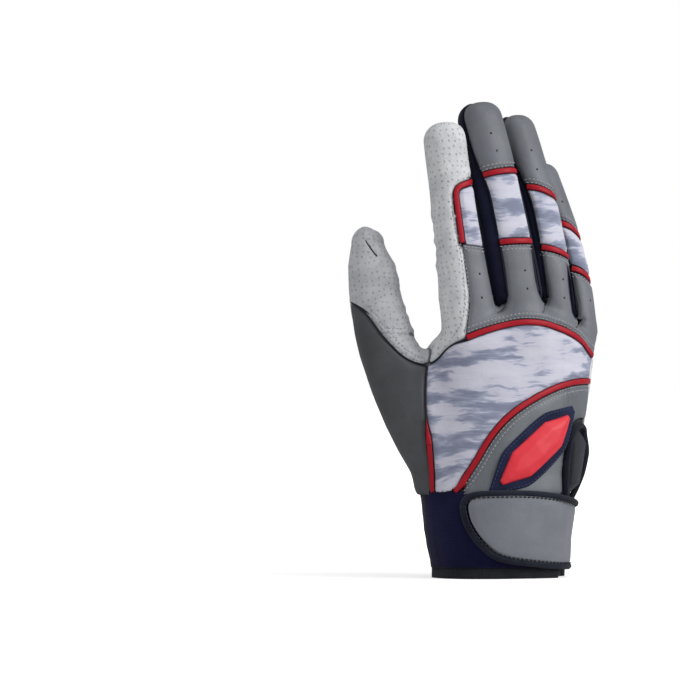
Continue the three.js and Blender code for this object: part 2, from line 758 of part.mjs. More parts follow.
const palmTop = [...fingerNames].reverse().flatMap((name, i) => {
  const pair = webPairs[webPairs.length - 1 - i];
  if (!pair) return baseArc(name, indexPalmAngles.filter((angle) => angle <= indexTurnAngle));
  return [...baseArc(name, arcAngles(palmEdgeAngles[name])), webPoint(pair, webPalmAngle)];
});
const indexSideTop = baseArc('index', indexPalmAngles.filter((angle) => angle >= indexTurnAngle));

// Back of the hand, from the fingers to the wrist
const allEdges = { bottom: edgeGap, top: edgeGap, left: edgeGap, right: edgeGap };
const [knuckleStart] = knuckleSeam;
const knuckleEnd = knuckleSeam[seamCount - 1];
const diagonalEnd = diagonalSeam[seamCount - 1];
const backStartAngle = -150;
const knuckleFacingAngles = [-45, -10, 0, 0, 0, 10, 85];
const stretchFacingAngles = [-92, -60, -25, 0, 10, 30, 82];
const lowerBackFacingAngles = [-50, -15, 0, 15, 40, 85];
const palmFacingAngles = [92, 150, 180, 180, 180, 180, 180, 190];
const turnFacingAngles = [195, 225, 255, 285, 315];
const [stretchTopShare] = stretchSideShares[stretchSideShares.length - 1];
const pipedSteps = Math.round((sideCount - 1) * sidePipingShare / stretchTopShare);
const sideGap = (share) => (Math.round(share * (sideCount - 1)) <= pipedSteps ? pipedGap : edgeGap);
{
  const left = onSeam([knuckleStart, knuckleTop[0]], webRowCount);
  const right = onSeam([knuckleEnd, knuckleTop[knuckleTop.length - 1]], webRowCount);
  const rows = fillPalm(onSeam(knuckleSeam, knuckleTop.length), knuckleTop, left, right, knuckleFacingAngles);
  add('knuckle_panel', sheet(trim(rows, { ...allEdges, bottom: pipedGap }), backThickness), greyLeather);
}
{
  const hem = hemLine(stretchSideShares[0][1], diagonalSeamShares[0][1], crotchCount);
  const right = onSeam([diagonalEnd, knuckleEnd], sideCount);
  const top = joined(crotchSeam, knuckleSeam);
  const rows = fillPalm(joined(hem, diagonalSeam), top, stretchSide, right, stretchFacingAngles);
  const pipedStartShare = (crotchCount - 1) / (crotchCount + seamCount - 2);
  const topGap = (share) => (share < pipedStartShare ? edgeGap : pipedGap);
  const gaps = { bottom: pipedGap, top: topGap, left: sideGap, right: edgeGap };
  add('back_stretch_panel', sheet(trim(rows, gaps), stretchThickness), stretchCloth);
}
const heightOnDiagonal = (angle) => {
  const last = diagonalSeamShares.length - 1;
  let i = 1;
  while (i < last && diagonalSeamShares[i][1] < angle) i += 1;
  const [from, to] = [diagonalSeamShares[i - 1], diagonalSeamShares[i]];
  return mix(from[0], to[0], clampUnit((angle - from[1]) / (to[1] - from[1])));
};
{
  const lip = palmSeam(slitLipShares, seamCount, heightOnSlit);
  const hemCount = Math.round(seamCount * lowerBackHemShare);
  const hem = hemLine(lowerBackStartAngle, slitLipShares[0][1], hemCount);
  const bottom = joined(hem, spaced(lip, seamCount - hemCount + 1));
  const angles = sampled(lowerBackStartAngle, littleSeamAngle, seamCount);
  const top = angles.map((angle) => onPalm([heightOnDiagonal(angle), angle]));
  const left = onSeam([bottom[0], top[0]], sideCount);
  const right = onSeam([bottom[seamCount - 1], top[seamCount - 1]], sideCount);
  const rows = fillPalm(bottom, top, left, right, lowerBackFacingAngles);
  add('lower_back_panel', sheet(trim(rows, { ...allEdges, top: pipedGap }), backThickness), greyLeather);
}
const piping = (line) => bead(line, pipingWidth, pipingRise, backThickness);
add('knuckle_piping', piping(shorten(knuckleSeam, pipingEndGap)), redFilm);
add('diagonal_piping', piping(shorten(diagonalSeam, pipedGap, seamGap)), redFilm);
{
  const line = stretchSide.slice(0, pipedSteps + 1);
  add('side_piping', piping(shorten(line, seamGap)), redFilm);
}

// Thumb side, crotch and palm
{
  const hem = hemLine(radialSeamAngle, stretchSideShares[0][1], thumbEdgeCount);
  const rows = fill(hem, thumbEdge, radialSeam, stretchSide);
  add('thumb_side_panel', sheet(trim(rows, { ...allEdges, right: sideGap }), backThickness), darkLeather);
}
{
  const arcCount = thumbEdgeCount - thumbRidge.length + 1;
  const top = joined(thumbArc(thumbRadialAngle, thumbRidgeAngle, arcCount), thumbRidge);
  const left = onSeam([thumbEdge[0], top[0]], crotchCount);
  const rows = fill(thumbEdge, top, left, [...saddleLine].reverse());
  const gaps = { ...allEdges, top: seamGap + edgeGap };
  add('crotch_leather', sheet(trim(rows, gaps), leatherThickness), whiteLeather);
}
{
  const left = joined(thenarSeam, thenarRise, [...thumbRidge].reverse());
  const right = joined(radialSeam, [thumbEdge[0], onThumb([thumbCut(thumbRadialAngle), thumbRadialAngle])]);
  const hem = hemLine(thenarSeamAngle, fullTurn + radialSeamAngle, sideCount);
  const top = thumbArc(thumbRidgeAngle, fullTurn + thumbRadialAngle, sideCount);
  const rows = fill(hem, top, left, right);
  add('thenar_leather', sheet(trim(rows, allEdges), leatherThickness), whiteLeather);
}
{
  // One sheet of two nets: the palm, and its turn round the index finger's root to the back
  const turnLine = onSeam([thenarTop, palmTop[palmTop.length - 1]], webRowCount);
  const littleSide = joined(
    onSeam([...slitSideShares.map(onSlit), ...littleSideShares.map(onPalm)], thenarCount),
    onSeam([knuckleEnd, knuckleTop[knuckleTop.length - 1]], webRowCount),
  );
  const hem = hemLine(littleSideShares[0][1], thenarSeamAngle, palmTop.length);
  const palm = fillPalm(hem, palmTop, littleSide, joined(thenarSeam, turnLine), palmFacingAngles);
  const thenarShare = thenarCount / palm.length;
  const palmNet = trim(palm, { ...allEdges, right: (share) => (share < thenarShare ? edgeGap : 0) });
  const shared = palmNet.slice(thenarCount - 1).map((row) => row[row.length - 1]);
  const whiteSide = onSeam([knuckleStart, knuckleTop[0]], webRowCount);
  const turn = fillPalm(crotchLine, indexSideTop, turnLine, whiteSide, turnFacingAngles);
  turn.forEach((row, i) => { row[0] = shared[i]; });
  const notFirst = (share) => (share ? edgeGap : 0);
  const turnNet = trim(turn, { bottom: notFirst, top: notFirst, right: edgeGap });
  const surface = new Surface();
  const meetsTurn = (side, i) => side === 'right' && i >= thenarCount - 1;
  addNets(surface, ...faces(palmNet, leatherThickness), meetsTurn);
  addNets(surface, ...faces(turnNet, leatherThickness), (side) => side === 'left');
  add('palm_leather', surface.geometry(), whiteLeather);
}

// Fingers. Rows run across a piece, from a lower to an upper line that may each slant.
const capCount = 4;
const poleShare = 2;
const lineRowCount = 2;
const legRowCount = 5;
const tipRowCount = 5;
const tipAngleCount = 8;
function fingerRows(name, lower, upper, angles, count) {
  const first = angles[0];
  const last = angles[angles.length - 1];
  return sampled(0, 1, count).map((v) => {
    const shareOf = (angle) => mix(lower(angle), upper(angle), v);
    const start = edgeAngle(first, shareOf(first));
    const end = edgeAngle(last, shareOf(last));
    return angles.map((angle) => {
      const turned = mix(start, end, (angle - first) / (last - first));
      return limbPoint(name, shareOf(angle), turned);
    });
  });
}
// Rows up to the limb's end and on over its rounded tip
function tipRows(name, lower, angles) {
  const straight = fingerRows(name, lower, () => 1, angles, tipRowCount);
  return joined(straight, fingerRows(name, () => 1, () => poleShare, angles, capCount));
}

for (const name of fingerNames) {
  const back = arcAngles(backEdgeAngles[name]);
  const palm = arcAngles(palmEdgeAngles[name]);
  const base = (angle) => baseShare(name, angle);
  const bend = () => middleJointShares[name];
  const lower = (angle) => slantedShare(lowerInsertShares[name], angle);
  const piped = upperInsertShares[name] !== undefined;
  const tabGaps = { ...allEdges, top: piped ? pipedGap : edgeGap };
  const tab = trim(fingerRows(name, base, lower, back, legRowCount), tabGaps);
  add(`${name}_tab`, sheet(tab, backThickness), greyLeather);
  if (!piped) continue;
  const leather = trim(fingerRows(name, base, bend, palm, legRowCount), allEdges);
  add(`${name}_leather`, sheet(leather, leatherThickness), whiteLeather);
  const upper = (angle) => slantedShare(upperInsertShares[name], angle);
  const insertGaps = { ...allEdges, bottom: pipedGap, top: pipedGap };
  const insert = trim(fingerRows(name, lower, upper, back, legRowCount), insertGaps);
  add(`${name}_insert`, sheet(insert, stretchThickness), stretchCloth);
  for (const [place, share] of [['lower', lower], ['upper', upper]]) {
    const [line] = fingerRows(name, share, share, back, lineRowCount);
    add(`${name}_${place}_piping`, piping(shorten(line, pipingEndGap)), redFilm);
  }
  const tip = trim(tipRows(name, upper, sampled(...backEdgeAngles[name], tipAngleCount)),
    { bottom: pipedGap, top: seamGap, left: seamGap, right: seamGap });
  add(`${name}_tip_panel`, sheet(tip, backThickness), greyLeather);
  const tipLeather = trim(tipRows(name, bend, sampled(...palmEdgeAngles[name], tipAngleCount)),
    { ...allEdges, top: seamGap });
  add(`${name}_tip_leather`, sheet(tipLeather, leatherThickness), whiteLeather);
}

// The index finger's leather wraps its thumb side, goes round the insert's corner and over the tip
const indexTopShares = [0.757, 0.787];
const indexCorner = { share: 0.035, angle: 20 };
const indexInsertColumnShares = [0, 0.05, 0.13, 0.25, 0.45, 0.7, 1];
const [indexBackEdge, indexSideEdge] = backEdgeAngles.index;
const turnPerLength = THREE.MathUtils.radToDeg(1 / fingerTipWidths.index);
// The insert's outline, moved outward by an offset: its side angle and its top share at an angle
const insertSideAngle = (offset) => indexBackEdge - offset * turnPerLength;
function insertTopShare(angle, offset) {
  const cornerShare = indexCorner.share + offset / fingerLengths.index;
  const cornerAngle = indexCorner.angle + offset * turnPerLength;
  const level = mix(...indexTopShares, (angle - indexBackEdge) / (indexSideEdge - indexBackEdge));
  const into = clampUnit((insertSideAngle(offset) + cornerAngle - angle) / cornerAngle);
  return level + offset / fingerLengths.index - cornerShare * (1 - Math.sqrt(1 - into * into));
}
function insertTopLine(offset, count) {
  const side = insertSideAngle(offset);
  const reach = indexCorner.angle + offset * turnPerLength;
  const corner = sampled(0, quarterTurn, count).map((turn) => side + reach * (1 - Math.cos(radians(turn))));
  const end = edgeAngle(indexSideEdge, indexTopShares[1]);
  const across = sampled(side + reach, end, fewCount).slice(1);
  return [...corner, ...across].map((angle) => [insertTopShare(angle, offset), angle]);
}
const onIndex = ([along, angle]) => limbPoint('index', along, angle);
{
  const lower = (angle) => slantedShare(lowerInsertShares.index, angle);
  const side = insertSideAngle(-pipedGap);
  const rows = sampled(0, 1, legRowCount).map((v) => indexInsertColumnShares.map((u) => {
    const angle = mix(side, indexSideEdge, u);
    const along = mix(lower(angle), insertTopShare(angle, -pipedGap), v);
    return onIndex([along, mix(side, edgeAngle(indexSideEdge, along), u)]);
  }));
  add('index_insert', sheet(trim(rows, { bottom: edgeGap, right: edgeGap }), stretchThickness), stretchCloth);

  const start = lower(indexBackEdge);
  const sideShares = sampled(start, insertTopShare(indexBackEdge, 0), legRowCount);
  const sideLine = sideShares.map((along) => [along, indexBackEdge]);
  const outline = joined(sideLine, insertTopLine(0, fewCount)).map(onIndex);
  add('index_piping', piping(shorten(outline, pipingEndGap)), redFilm);

  const bend = middleJointShares.index;
  const angles = indexPalmAngles;
  const base = (angle) => baseShare('index', angle);
  const underInsert = () => start - pipedGap / fingerLengths.index;
  const below = fingerRows('index', base, underInsert, angles, fewCount);
  const beside = fingerRows('index', () => start, () => bend, angles, fewCount - 1);
  const besideShare = below.length / (below.length + beside.length);
  const right = (share) => (share < besideShare ? edgeGap : pipedGap);
  const leather = trim([...below, ...beside], { ...allEdges, right });
  add('index_leather', sheet(leather, leatherThickness), whiteLeather);

  const outside = [[bend, insertSideAngle(pipedGap)], ...insertTopLine(pipedGap, fewCount)];
  const above = sampled(outside[outside.length - 1][0], 1, tipRowCount).slice(1);
  const cap = sampled(1, poleShare, capCount).slice(1);
  const edgeAt = (along) => edgeAngle(indexSideEdge, along) - edgeGap * turnPerLength;
  const sides = [...above, ...cap].map((along) => [along, edgeAt(along)]);
  const [palmEdge] = palmEdgeAngles.index;
  const tipNet = [...outside, ...sides].map(([along, angle]) => (
    sampled(edgeAngle(palmEdge, along), fullTurn + angle, angles.length).map((turn) => onIndex([along, turn]))
  ));
  const gaps = { bottom: edgeGap, top: seamGap, left: edgeGap };
  add('index_tip_leather', sheet(trim(tipNet, gaps), leatherThickness), whiteLeather);
}

// Side cloth between two fingers, from one fingertip down round the slot and up to the other
const clothRowCount = 7;
for (const pair of webPairs) {
  const [radialFinger, ulnarFinger] = pair;
  const inner = [backEdgeAngles[radialFinger][1], palmEdgeAngles[radialFinger][0]];
  const outer = [backEdgeAngles[ulnarFinger][0], palmEdgeAngles[ulnarFinger][1] - fullTurn];
  const leg = (name, edges) => {
    const base = (angle) => baseShare(name, angle);
    return fingerRows(name, base, () => sideEndShare, sampled(...edges, fewCount), clothRowCount);
  };
  const low = [webBackAngle, quarterTurn, webPalmAngle].map((angle) => webPoint(pair, angle));
  const rows = [...leg(radialFinger, inner).reverse(), onSeam(low, fewCount), ...leg(ulnarFinger, outer)];
  const cloth = sheet(transpose(trim(rows, allEdges)), sideClothThickness);
  add(`side_cloth_${radialFinger}_${ulnarFinger}`, cloth, navyCloth);
}

// Thumb
const thumbAngleCount = 21;
{
  const angles = sampled(thumbSlitAngle, thumbSlitAngle + fullTurn, thumbAngleCount);
  const thumbRows = (lower, upper, count) => sampled(0, 1, count).map((v) => (
    angles.map((angle) => onThumb([mix(lower(angle), upper(angle), v), angle]))
  ));
  const tipJoint = () => thumbTipJointShare;
  const leather = trim(thumbRows(thumbCut, tipJoint, legRowCount), { ...allEdges, bottom: seamGap });
  add('thumb_leather', sheet(leather, leatherThickness), whiteLeather);
  const rows = joined(thumbRows(tipJoint, () => 1, fewCount), thumbRows(() => 1, () => poleShare, capCount));
  add('thumb_tip_leather', sheet(trim(rows, { ...allEdges, top: seamGap }), leatherThickness), whiteLeather);
}

// Cuff. Its sheets stand upright, so their thickness is taken level.
const cuffOpeningAngles = [86, 398];
const cuffStationShares = [0.159, 0.254, 0.349, 0.45, 0.556];
const cuffStepAngle = 7;
function cuffRows([low, high], [from, to]) {
  const heights = cuffStationShares.map((share) => share * palmHeight);
  const inside = heights.filter((height) => height > low && height < high);
  const angles = sampled(from, to, Math.ceil((to - from) / cuffStepAngle) + 1);
  return [low, ...inside, high].map((height) => angles.map((angle) => palmPoint(height, angle)));
}
const cuffTop = [rimHeight + seamGap, cuffHeight - edgeGap];
add('cuff_rim', sheet(cuffRows([0, rimHeight], cuffOpeningAngles), rimThickness, 0, true), blackTape);
{
  const [opening, end] = cuffOpeningAngles;
  const elastic = trim(cuffRows(cuffTop, [elasticSeamAngle, end - fullTurn]), { left: edgeGap });
  add('cuff_elastic', sheet(elastic, elasticThickness, 0, true), navyCloth);
  const panel = trim(cuffRows(cuffTop, [opening, fullTurn + elasticSeamAngle]), { right: edgeGap });
  add('cuff_palm_panel', sheet(panel, elasticThickness, 0, true), blackTape);
}

// The wrist slit's binding, and the gusset behind it
const gussetThickness = 0.8;
const gussetAngles = [32, 90];
const gussetTopShare = 1.1867;
const slitLine = shorten(slitSeam, seamGap);
add('slit_binding', bead(slitLine, bindingWidth, bindingRise, leatherThickness), navyBinding);
{
  const rows = cuffRows([rimHeight + seamGap, heightOnSlit(gussetTopShare)], gussetAngles);
  add('slit_gusset', sheet(rows, gussetThickness, -elasticThickness - seamGap, true), darkLeather);
}

// Closure strap with its two tapes and the anchor that it is sewn to, in shares of the cuff's height
const loopTapeAngles = [-38, 34];
const loopTapeShares = [0.2045, 0.9091];
const hookTapeAngles = [-44, 6];
const hookTapeShares = [0.3409, 0.8409];
const hookTapeLift = seamGap + tapeThickness + seamGap + tapeThickness;
const strapLift = hookTapeLift + seamGap + strapThickness;
const anchorLift = strapClearance + strapThickness;
const strapLandAngles = [62, 104];
const hingeAngle = 108;
const anchorEndAngle = 146;
const strapBottomShares = [
  [0.6128, -51], [0.3923, -41], [0.2033, -25], [0.1432, 0], [0.1088, 30], [0.0916, 60], [0.1145, 90],
  [0.1289, hingeAngle],
];
const strapTopShares = [
  [0.8104, -54], [0.945, -51], [0.9908, -46], [1.008, -5], [0.9593, 25], [0.8963, 49], [0.8305, 80],
  [0.8018, hingeAngle],
];
const strapCount = 20;
const strapFacingAngles = [-50, -20, 0, 25, 60, 108];
const strapEndGap = 1.6;
// The strap lies high over its tapes and comes down to the cuff before its hinge
const strapLiftAt = (spot) => {
  const angle = palmChart(spot, backStartAngle).y;
  const share = THREE.MathUtils.smoothstep(angle, ...strapLandAngles);
  return mix(strapLift, anchorLift, share);
};
{
  const bottom = palmSeam(strapBottomShares, strapCount, heightOnCuff);
  const top = palmSeam(strapTopShares, strapCount, heightOnCuff);
  const side = (j) => onSeam([bottom[j], top[j]], legRowCount);
  const rows = fillPalm(bottom, top, side(0), side(strapCount - 1), strapFacingAngles);
  const inset = bindingWidth + seamGap;
  const shell = trim(rows, { bottom: inset, top: inset, left: inset });
  add('strap_shell', sheet(shell, strapThickness, strapLiftAt, true), greyLeather);
  const outline = joined([...shell[0]].reverse(), shell.map((row) => row[0]), shell[shell.length - 1]);
  const line = shorten(aside(outline, -bindingWidth / 2 - seamGap), strapEndGap);
  add('strap_binding', bead(line, bindingWidth, bindingRise, strapThickness, strapLiftAt, true), navyBinding);
}
const tape = (shares, angles, lift) => {
  const rows = cuffRows(shares.map(heightOnCuff), angles);
  return sheet(rows, tapeThickness, lift, true);
};
add('loop_tape', tape(loopTapeShares, loopTapeAngles, seamGap + tapeThickness), blackTape);
add('hook_tape', tape(hookTapeShares, hookTapeAngles, hookTapeLift), blackTape);
{
  const ends = [strapBottomShares, strapTopShares].map((shares) => shares[shares.length - 1]);
  const heights = ends.map(([share]) => heightOnCuff(share));
  const rows = trim(cuffRows(heights, [hingeAngle, anchorEndAngle]), { left: seamGap });
  add('strap_anchor', sheet(rows, strapThickness, anchorLift, true), greyLeather);
}

// Badge: a long six-sided plate with a raised, faceted face. It climbs over the lower back from the
// cuff's top to a place between the slit's top and the diagonal seam.
const badgeLowShare = 0.9925;
const badgeTipShare = 0.4013;
const badgeTipAngle = 39.5;
const badgeEndShare = 0.16;
const badgeShoulderShare = 0.45;
const badgeStationShares = [-1, -0.8, -0.62, -badgeShoulderShare, 0, badgeShoulderShare, 0.62, 0.8, 1];
const badgeSideShares = [-1, -0.45, 0, 0.45, 1];
const badgeCrownShares = [0.5, 0.25];
{
  const tipHeight = mix(slitHeight, heightOnHand(heightOnDiagonal(badgeTipAngle)), badgeTipShare);
  const lowHeight = heightOnCuff(badgeLowShare);
  const tilt = Math.asin((tipHeight - lowHeight) / badgeLength);
  const reach = THREE.MathUtils.radToDeg(badgeLength / 2 * Math.cos(tilt) / palmHalfWidth);
  const centre = palmPoint((tipHeight + lowHeight) / 2, badgeTipAngle - reach);
  const normal = outwardAt(centre);
  const level = new THREE.Vector3().crossVectors(point(0, 0, 1), normal).normalize();
  const rise = new THREE.Vector3().crossVectors(normal, level);
  const lengthways = level.clone().multiplyScalar(Math.cos(tilt)).addScaledVector(rise, Math.sin(tilt));
  const sideways = rise.clone().multiplyScalar(Math.cos(tilt)).addScaledVector(level, -Math.sin(tilt));
  const inward = (share) => clampUnit((1 - Math.abs(share)) / (1 - badgeShoulderShare));
  const profile = (share) => mix(badgeEndShare, 1, inward(share));
  const plate = (halfLength, halfWidth) => badgeSideShares.map((side) => badgeStationShares.map((share) => {
    const spot = centre.clone().addScaledVector(lengthways, share * halfLength);
    return settle(spot.addScaledVector(sideways, side * halfWidth * profile(share)));
  }));
  const baseLift = seamGap + badgeBaseThickness;
  add('badge_base', sheet(plate(badgeLength / 2, badgeHalfWidth), badgeBaseThickness, baseLift), navyBinding);
  const face = plate(badgeLength / 2 - badgeBorder, badgeHalfWidth - badgeBorder);
  const [, under] = faces(face, 0, baseLift + seamGap);
  const crowned = under.map((row, i) => row.map((spot, j) => {
    const insides = [badgeSideShares[i], badgeStationShares[j]].map((share) => 1 - Math.abs(share));
    const crown = insides.reduce((all, share, k) => all * Math.min(1, share / badgeCrownShares[k]), 1);
    return spot.clone().addScaledVector(outwardAt(face[i][j]), badgeFaceThickness * (1 + crown) / 2);
  }));
  add('badge_face', closeNets(crowned, under), coralRubber);
}

// The origin lies at the cuff rim's underside, below the middle of the glove
const middle = new THREE.Box3().setFromObject(glove).getCenter(point(0, 0, 0));
glove.position.set(-middle.x, -middle.y, 0);

export default glove;
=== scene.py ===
# A right-hand batting glove: leather and stretch cloth panels, piping, stitching, cuff and wrist strap.
# Every sheet is the CAD sheet's outer skin, made fine, laid on the hand form and given seams and wrinkles.
import math
import bpy
import numpy as np
from mathutils import Matrix, Vector
from mathutils.kdtree import KDTree


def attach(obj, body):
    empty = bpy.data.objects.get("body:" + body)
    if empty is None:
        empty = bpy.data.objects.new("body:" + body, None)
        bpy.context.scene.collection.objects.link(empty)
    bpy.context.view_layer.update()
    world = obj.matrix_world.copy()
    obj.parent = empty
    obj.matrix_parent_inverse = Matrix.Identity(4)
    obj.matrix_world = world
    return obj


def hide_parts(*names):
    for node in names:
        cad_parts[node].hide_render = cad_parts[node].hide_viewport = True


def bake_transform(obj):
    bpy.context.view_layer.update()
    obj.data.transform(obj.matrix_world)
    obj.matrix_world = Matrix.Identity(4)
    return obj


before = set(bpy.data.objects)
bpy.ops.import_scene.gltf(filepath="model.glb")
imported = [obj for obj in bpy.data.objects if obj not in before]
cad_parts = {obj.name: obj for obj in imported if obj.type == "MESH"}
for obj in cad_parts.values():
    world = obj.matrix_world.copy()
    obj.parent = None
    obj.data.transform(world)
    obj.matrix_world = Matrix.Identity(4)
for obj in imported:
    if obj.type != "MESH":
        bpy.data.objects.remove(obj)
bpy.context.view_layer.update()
MM = 0.001

# The hand form, in millimetres, and where its own origin lies in the row frame. Limbs and palm are rounded
# boxes whose roundness is an exponent: 2 is an ellipse, and more is squarer
FORM_SHIFT = np.array([2.8432, -7.9902, 0.0])
PALM_HEIGHT = 126.0
PALM_HALF_WIDTH = 46.5
PALM_HALF_DEPTH = 15.5
PALM_OFFSET = 13.0
WRIST_HALF_WIDTH = 33.8
WRIST_HALF_DEPTH = 24.0
KNUCKLE_CAP = 11.0
ARCH_RADIUS = 111.0
ARCH_OFFSET = 4.0
CROWN_RADIUS = 77.0
CROWN_OFFSET = 10.0
FINGER_BLEND = 2.0
PALM_BLEND = 7.0
THUMB_BLEND = 12.0
LIMB_STEPS = 12
PALM_ROUNDNESS = 2.5
WRIST_ARCH_SHARE = 0.15
ARCH_HEIGHT_SHARE = 0.794
# Limbs: length, half widths and half depths at base and tip, and the start, bend, end and roll of the axis
LIMBS = {
    "index": dict(length=102, width=(15.3, 10.3), depth=(12.5, 9.6), start=(-0.609, 0.065, 0.9365),
                  bend=(-0.0755, 0.003, 0.497), end=(-0.0945, 0.112, 0.998), roll=-4),
    "middle": dict(length=113.5, width=(12.6, 10.7), depth=(12, 9.6), start=(-0.011, -0.129, 0.9365),
                   bend=(-0.0718, -0.0132, 0.496), end=(-0.137, 0.151, 0.9895), roll=4),
    "ring": dict(length=107.5, width=(11.2, 9.7), depth=(11.6, 9.4), start=(0.434, 0.194, 0.9365),
                 bend=(-0.0344, -0.0065, 0.4977), end=(-0.1247, 0.1628, 0.9907), roll=18),
    "little": dict(length=87.5, width=(9.7, 8.1), depth=(10.4, 8.2), start=(0.828, 0.935, 0.9206),
                   bend=(-0.0126, 0.0046, 0.503), end=(-0.1326, 0.1829, 0.9771), roll=34),
    "thumb": dict(length=138, width=(15.5, 15.5), depth=(14.8, 14.8), start=(-0.6667, 0.387, 0.3175),
                  bend=(-0.2942, 0.1268, 0.4638), end=(-0.2703, 0.2246, 0.9312), roll=-35),
}
# The thumb's half width and half depth as shares of its first ones, by share of its length
THUMB_PROFILE = np.array([
    (0, 0.935, 1.014), (0.3, 1, 0.98), (0.6, 0.942, 0.892),
    (0.8, 0.852, 0.797), (0.92, 0.748, 0.703), (1, 0.594, 0.581),
])
# Palm stations: height in palm heights, then how far width, depth and shift have gone, and the depth's offset
PALM_STATIONS = np.array([
    (0, 0, 0, -0.062, 0), (0.159, 0.047, -0.059, -0.015, 0), (0.349, 0.252, 0, 0.2, 0),
    (0.556, 0.567, 0.294, 0.4615, 0), (0.794, 0.921, 0.647, 0.769, 0.032), (1, 1, 1, 1, 0.097),
])
FINGER_ROUNDNESS = 2.4
THUMB_ROUNDNESS = 2.2
TAPER = 1.6
# A limb counts only this near to its axis, and elsewhere it lies this far away
REACH = 34.0
FAR = 1e3
# The share of the palm's flat width that the rays round it start from, the least slope of the form that a
# move onto its skin counts with, and how far in radians a fingertip's rounding is followed
SPREAD = 0.9
FLATTEST = 0.15
TIP_CLIMB = 1.55
FINGERS = ("index", "middle", "ring", "little")
# The camera looks level at the back of the hand from 25 degrees to its thumb side
LOOK = np.array([math.sin(math.radians(25)), math.cos(math.radians(25)), 0])
RIGHT = np.array([LOOK[1], -LOOK[0], 0])
UPWARD = np.array([0, 0, 1.0])


def unit(vectors):
    return vectors / np.maximum(np.linalg.norm(vectors, axis=-1, keepdims=True), 1e-12)


def smooth(low, high, value):
    t = np.clip((value - low) / (high - low), 0, 1)
    return t * t * (3 - 2 * t)


def fade(low, high, value):
    return 1 - smooth(low, high, value)


def lengths(path):
    """How far each point of a path lies along it."""
    return np.concatenate([[0], np.cumsum(np.linalg.norm(np.diff(path, axis=0), axis=1))])


def places_at(at, along, line):
    """Places on a line at some values of what its own points have along."""
    return np.stack([np.interp(at, along, column) for column in line.T], 1)


def runs_of(flags):
    """The runs of true values, each from its first place to the one after its last."""
    ends = np.flatnonzero(np.diff(np.concatenate([[0], np.asarray(flags, int), [0]])))
    return list(zip(ends[::2], ends[1::2]))


def longest(runs):
    return max(runs, key=lambda run: run[1] - run[0], default=(0, 0))


def grid_quads(rows, columns, order=(0, 1, 2, 3), wrap=True):
    """The quads between rows of points, with their corners in an order, closed to rings or not."""
    i, k = (v.ravel() for v in np.indices((rows - 1, columns if wrap else columns - 1)))
    n = (k + 1) % columns
    corners = i * columns + k, i * columns + n, (i + 1) * columns + n, (i + 1) * columns + k
    return np.stack([corners[c] for c in order], 1)


def make_limb(name):
    spec = LIMBS[name]
    along = np.linspace(0, 1, LIMB_STEPS + 1)
    palm_size = PALM_HALF_WIDTH, PALM_HALF_DEPTH, PALM_HEIGHT
    start = np.array([PALM_OFFSET, 0, 0]) + np.array(spec["start"]) * palm_size
    bend = start + np.array(spec["bend"]) * spec["length"]
    end = start + np.array(spec["end"]) * spec["length"]
    t = along[:, None]
    centre = (1 - t) ** 2 * start + 2 * t * (1 - t) * bend + t ** 2 * end
    lengthwise = unit(2 * (1 - t) * (bend - start) + 2 * t * (end - bend))
    roll = math.radians(spec["roll"])
    lateral = np.tile([math.cos(roll), math.sin(roll), 0.0], (len(along), 1))
    lateral = unit(lateral - (lateral * lengthwise).sum(1, keepdims=True) * lengthwise)
    if name == "thumb":
        profile = places_at(along, THUMB_PROFILE[:, 0], THUMB_PROFILE[:, 1:])
        sizes = profile * (spec["width"][0], spec["depth"][0])
    else:
        taper = 1 - (1 - along) ** TAPER
        sizes = np.stack([a + (b - a) * taper for a, b in (spec["width"], spec["depth"])], 1)
    rows = np.concatenate([centre, lateral, np.cross(lateral, lengthwise), lengthwise, sizes], 1)
    roundness = THUMB_ROUNDNESS if name == "thumb" else FINGER_ROUNDNESS
    return dict(rows=rows, length=spec["length"], roundness=roundness)


FORM = {name: make_limb(name) for name in LIMBS}


def stations_at(limb, along):
    """Rows of a limb: its centre, its three axes, and its half width and half depth."""
    place = np.clip(along, 0, 1) * LIMB_STEPS
    i = np.minimum(LIMB_STEPS - 1, np.floor(place)).astype(int)
    share = (place - i)[:, None]
    return limb["rows"][i] * (1 - share) + limb["rows"][i + 1] * share


def nearest_along(points, limb):
    best = np.full(len(points), np.inf)
    along = np.zeros(len(points))
    for i in range(LIMB_STEPS):
        near, far = limb["rows"][i, :3], limb["rows"][i + 1, :3]
        edge = far - near
        offset = points - near
        share = np.clip(offset @ edge / (edge @ edge), 0, 1)
        gap = ((offset - share[:, None] * edge) ** 2).sum(1)
        closer = gap < best
        best[closer] = gap[closer]
        along[closer] = (i + share[closer]) / LIMB_STEPS
    return along, np.sqrt(best)


def section_distance(offsets, sizes, roundness):
    ratio = np.maximum(((np.abs(offsets) / sizes) ** roundness).sum(-1) ** (1 / roundness), 1e-9)
    reach = np.linalg.norm(offsets, axis=-1)
    return reach - reach / ratio


def limb_offsets(points, limb, along):
    rows = stations_at(limb, along)
    offset = points - rows[:, :3]
    parts = [(offset * rows[:, k:k + 3]).sum(1) for k in (3, 6, 9)]
    return np.stack(parts, 1), rows[:, 12:14]


def limb_distance(points, limb):
    along, _ = nearest_along(points, limb)
    offsets, sizes = limb_offsets(points, limb, along)
    sizes = np.concatenate([sizes, sizes.min(1, keepdims=True)], 1)
    return section_distance(offsets, sizes, limb["roundness"])


def palm_section(z):
    at = places_at(z / PALM_HEIGHT, PALM_STATIONS[:, 0], PALM_STATIONS[:, 1:]).T
    width = WRIST_HALF_WIDTH + (PALM_HALF_WIDTH - WRIST_HALF_WIDTH) * at[0]
    depth = WRIST_HALF_DEPTH + (PALM_HALF_DEPTH - WRIST_HALF_DEPTH) * at[1]
    return PALM_OFFSET * at[2], PALM_HALF_DEPTH * at[3], width, depth


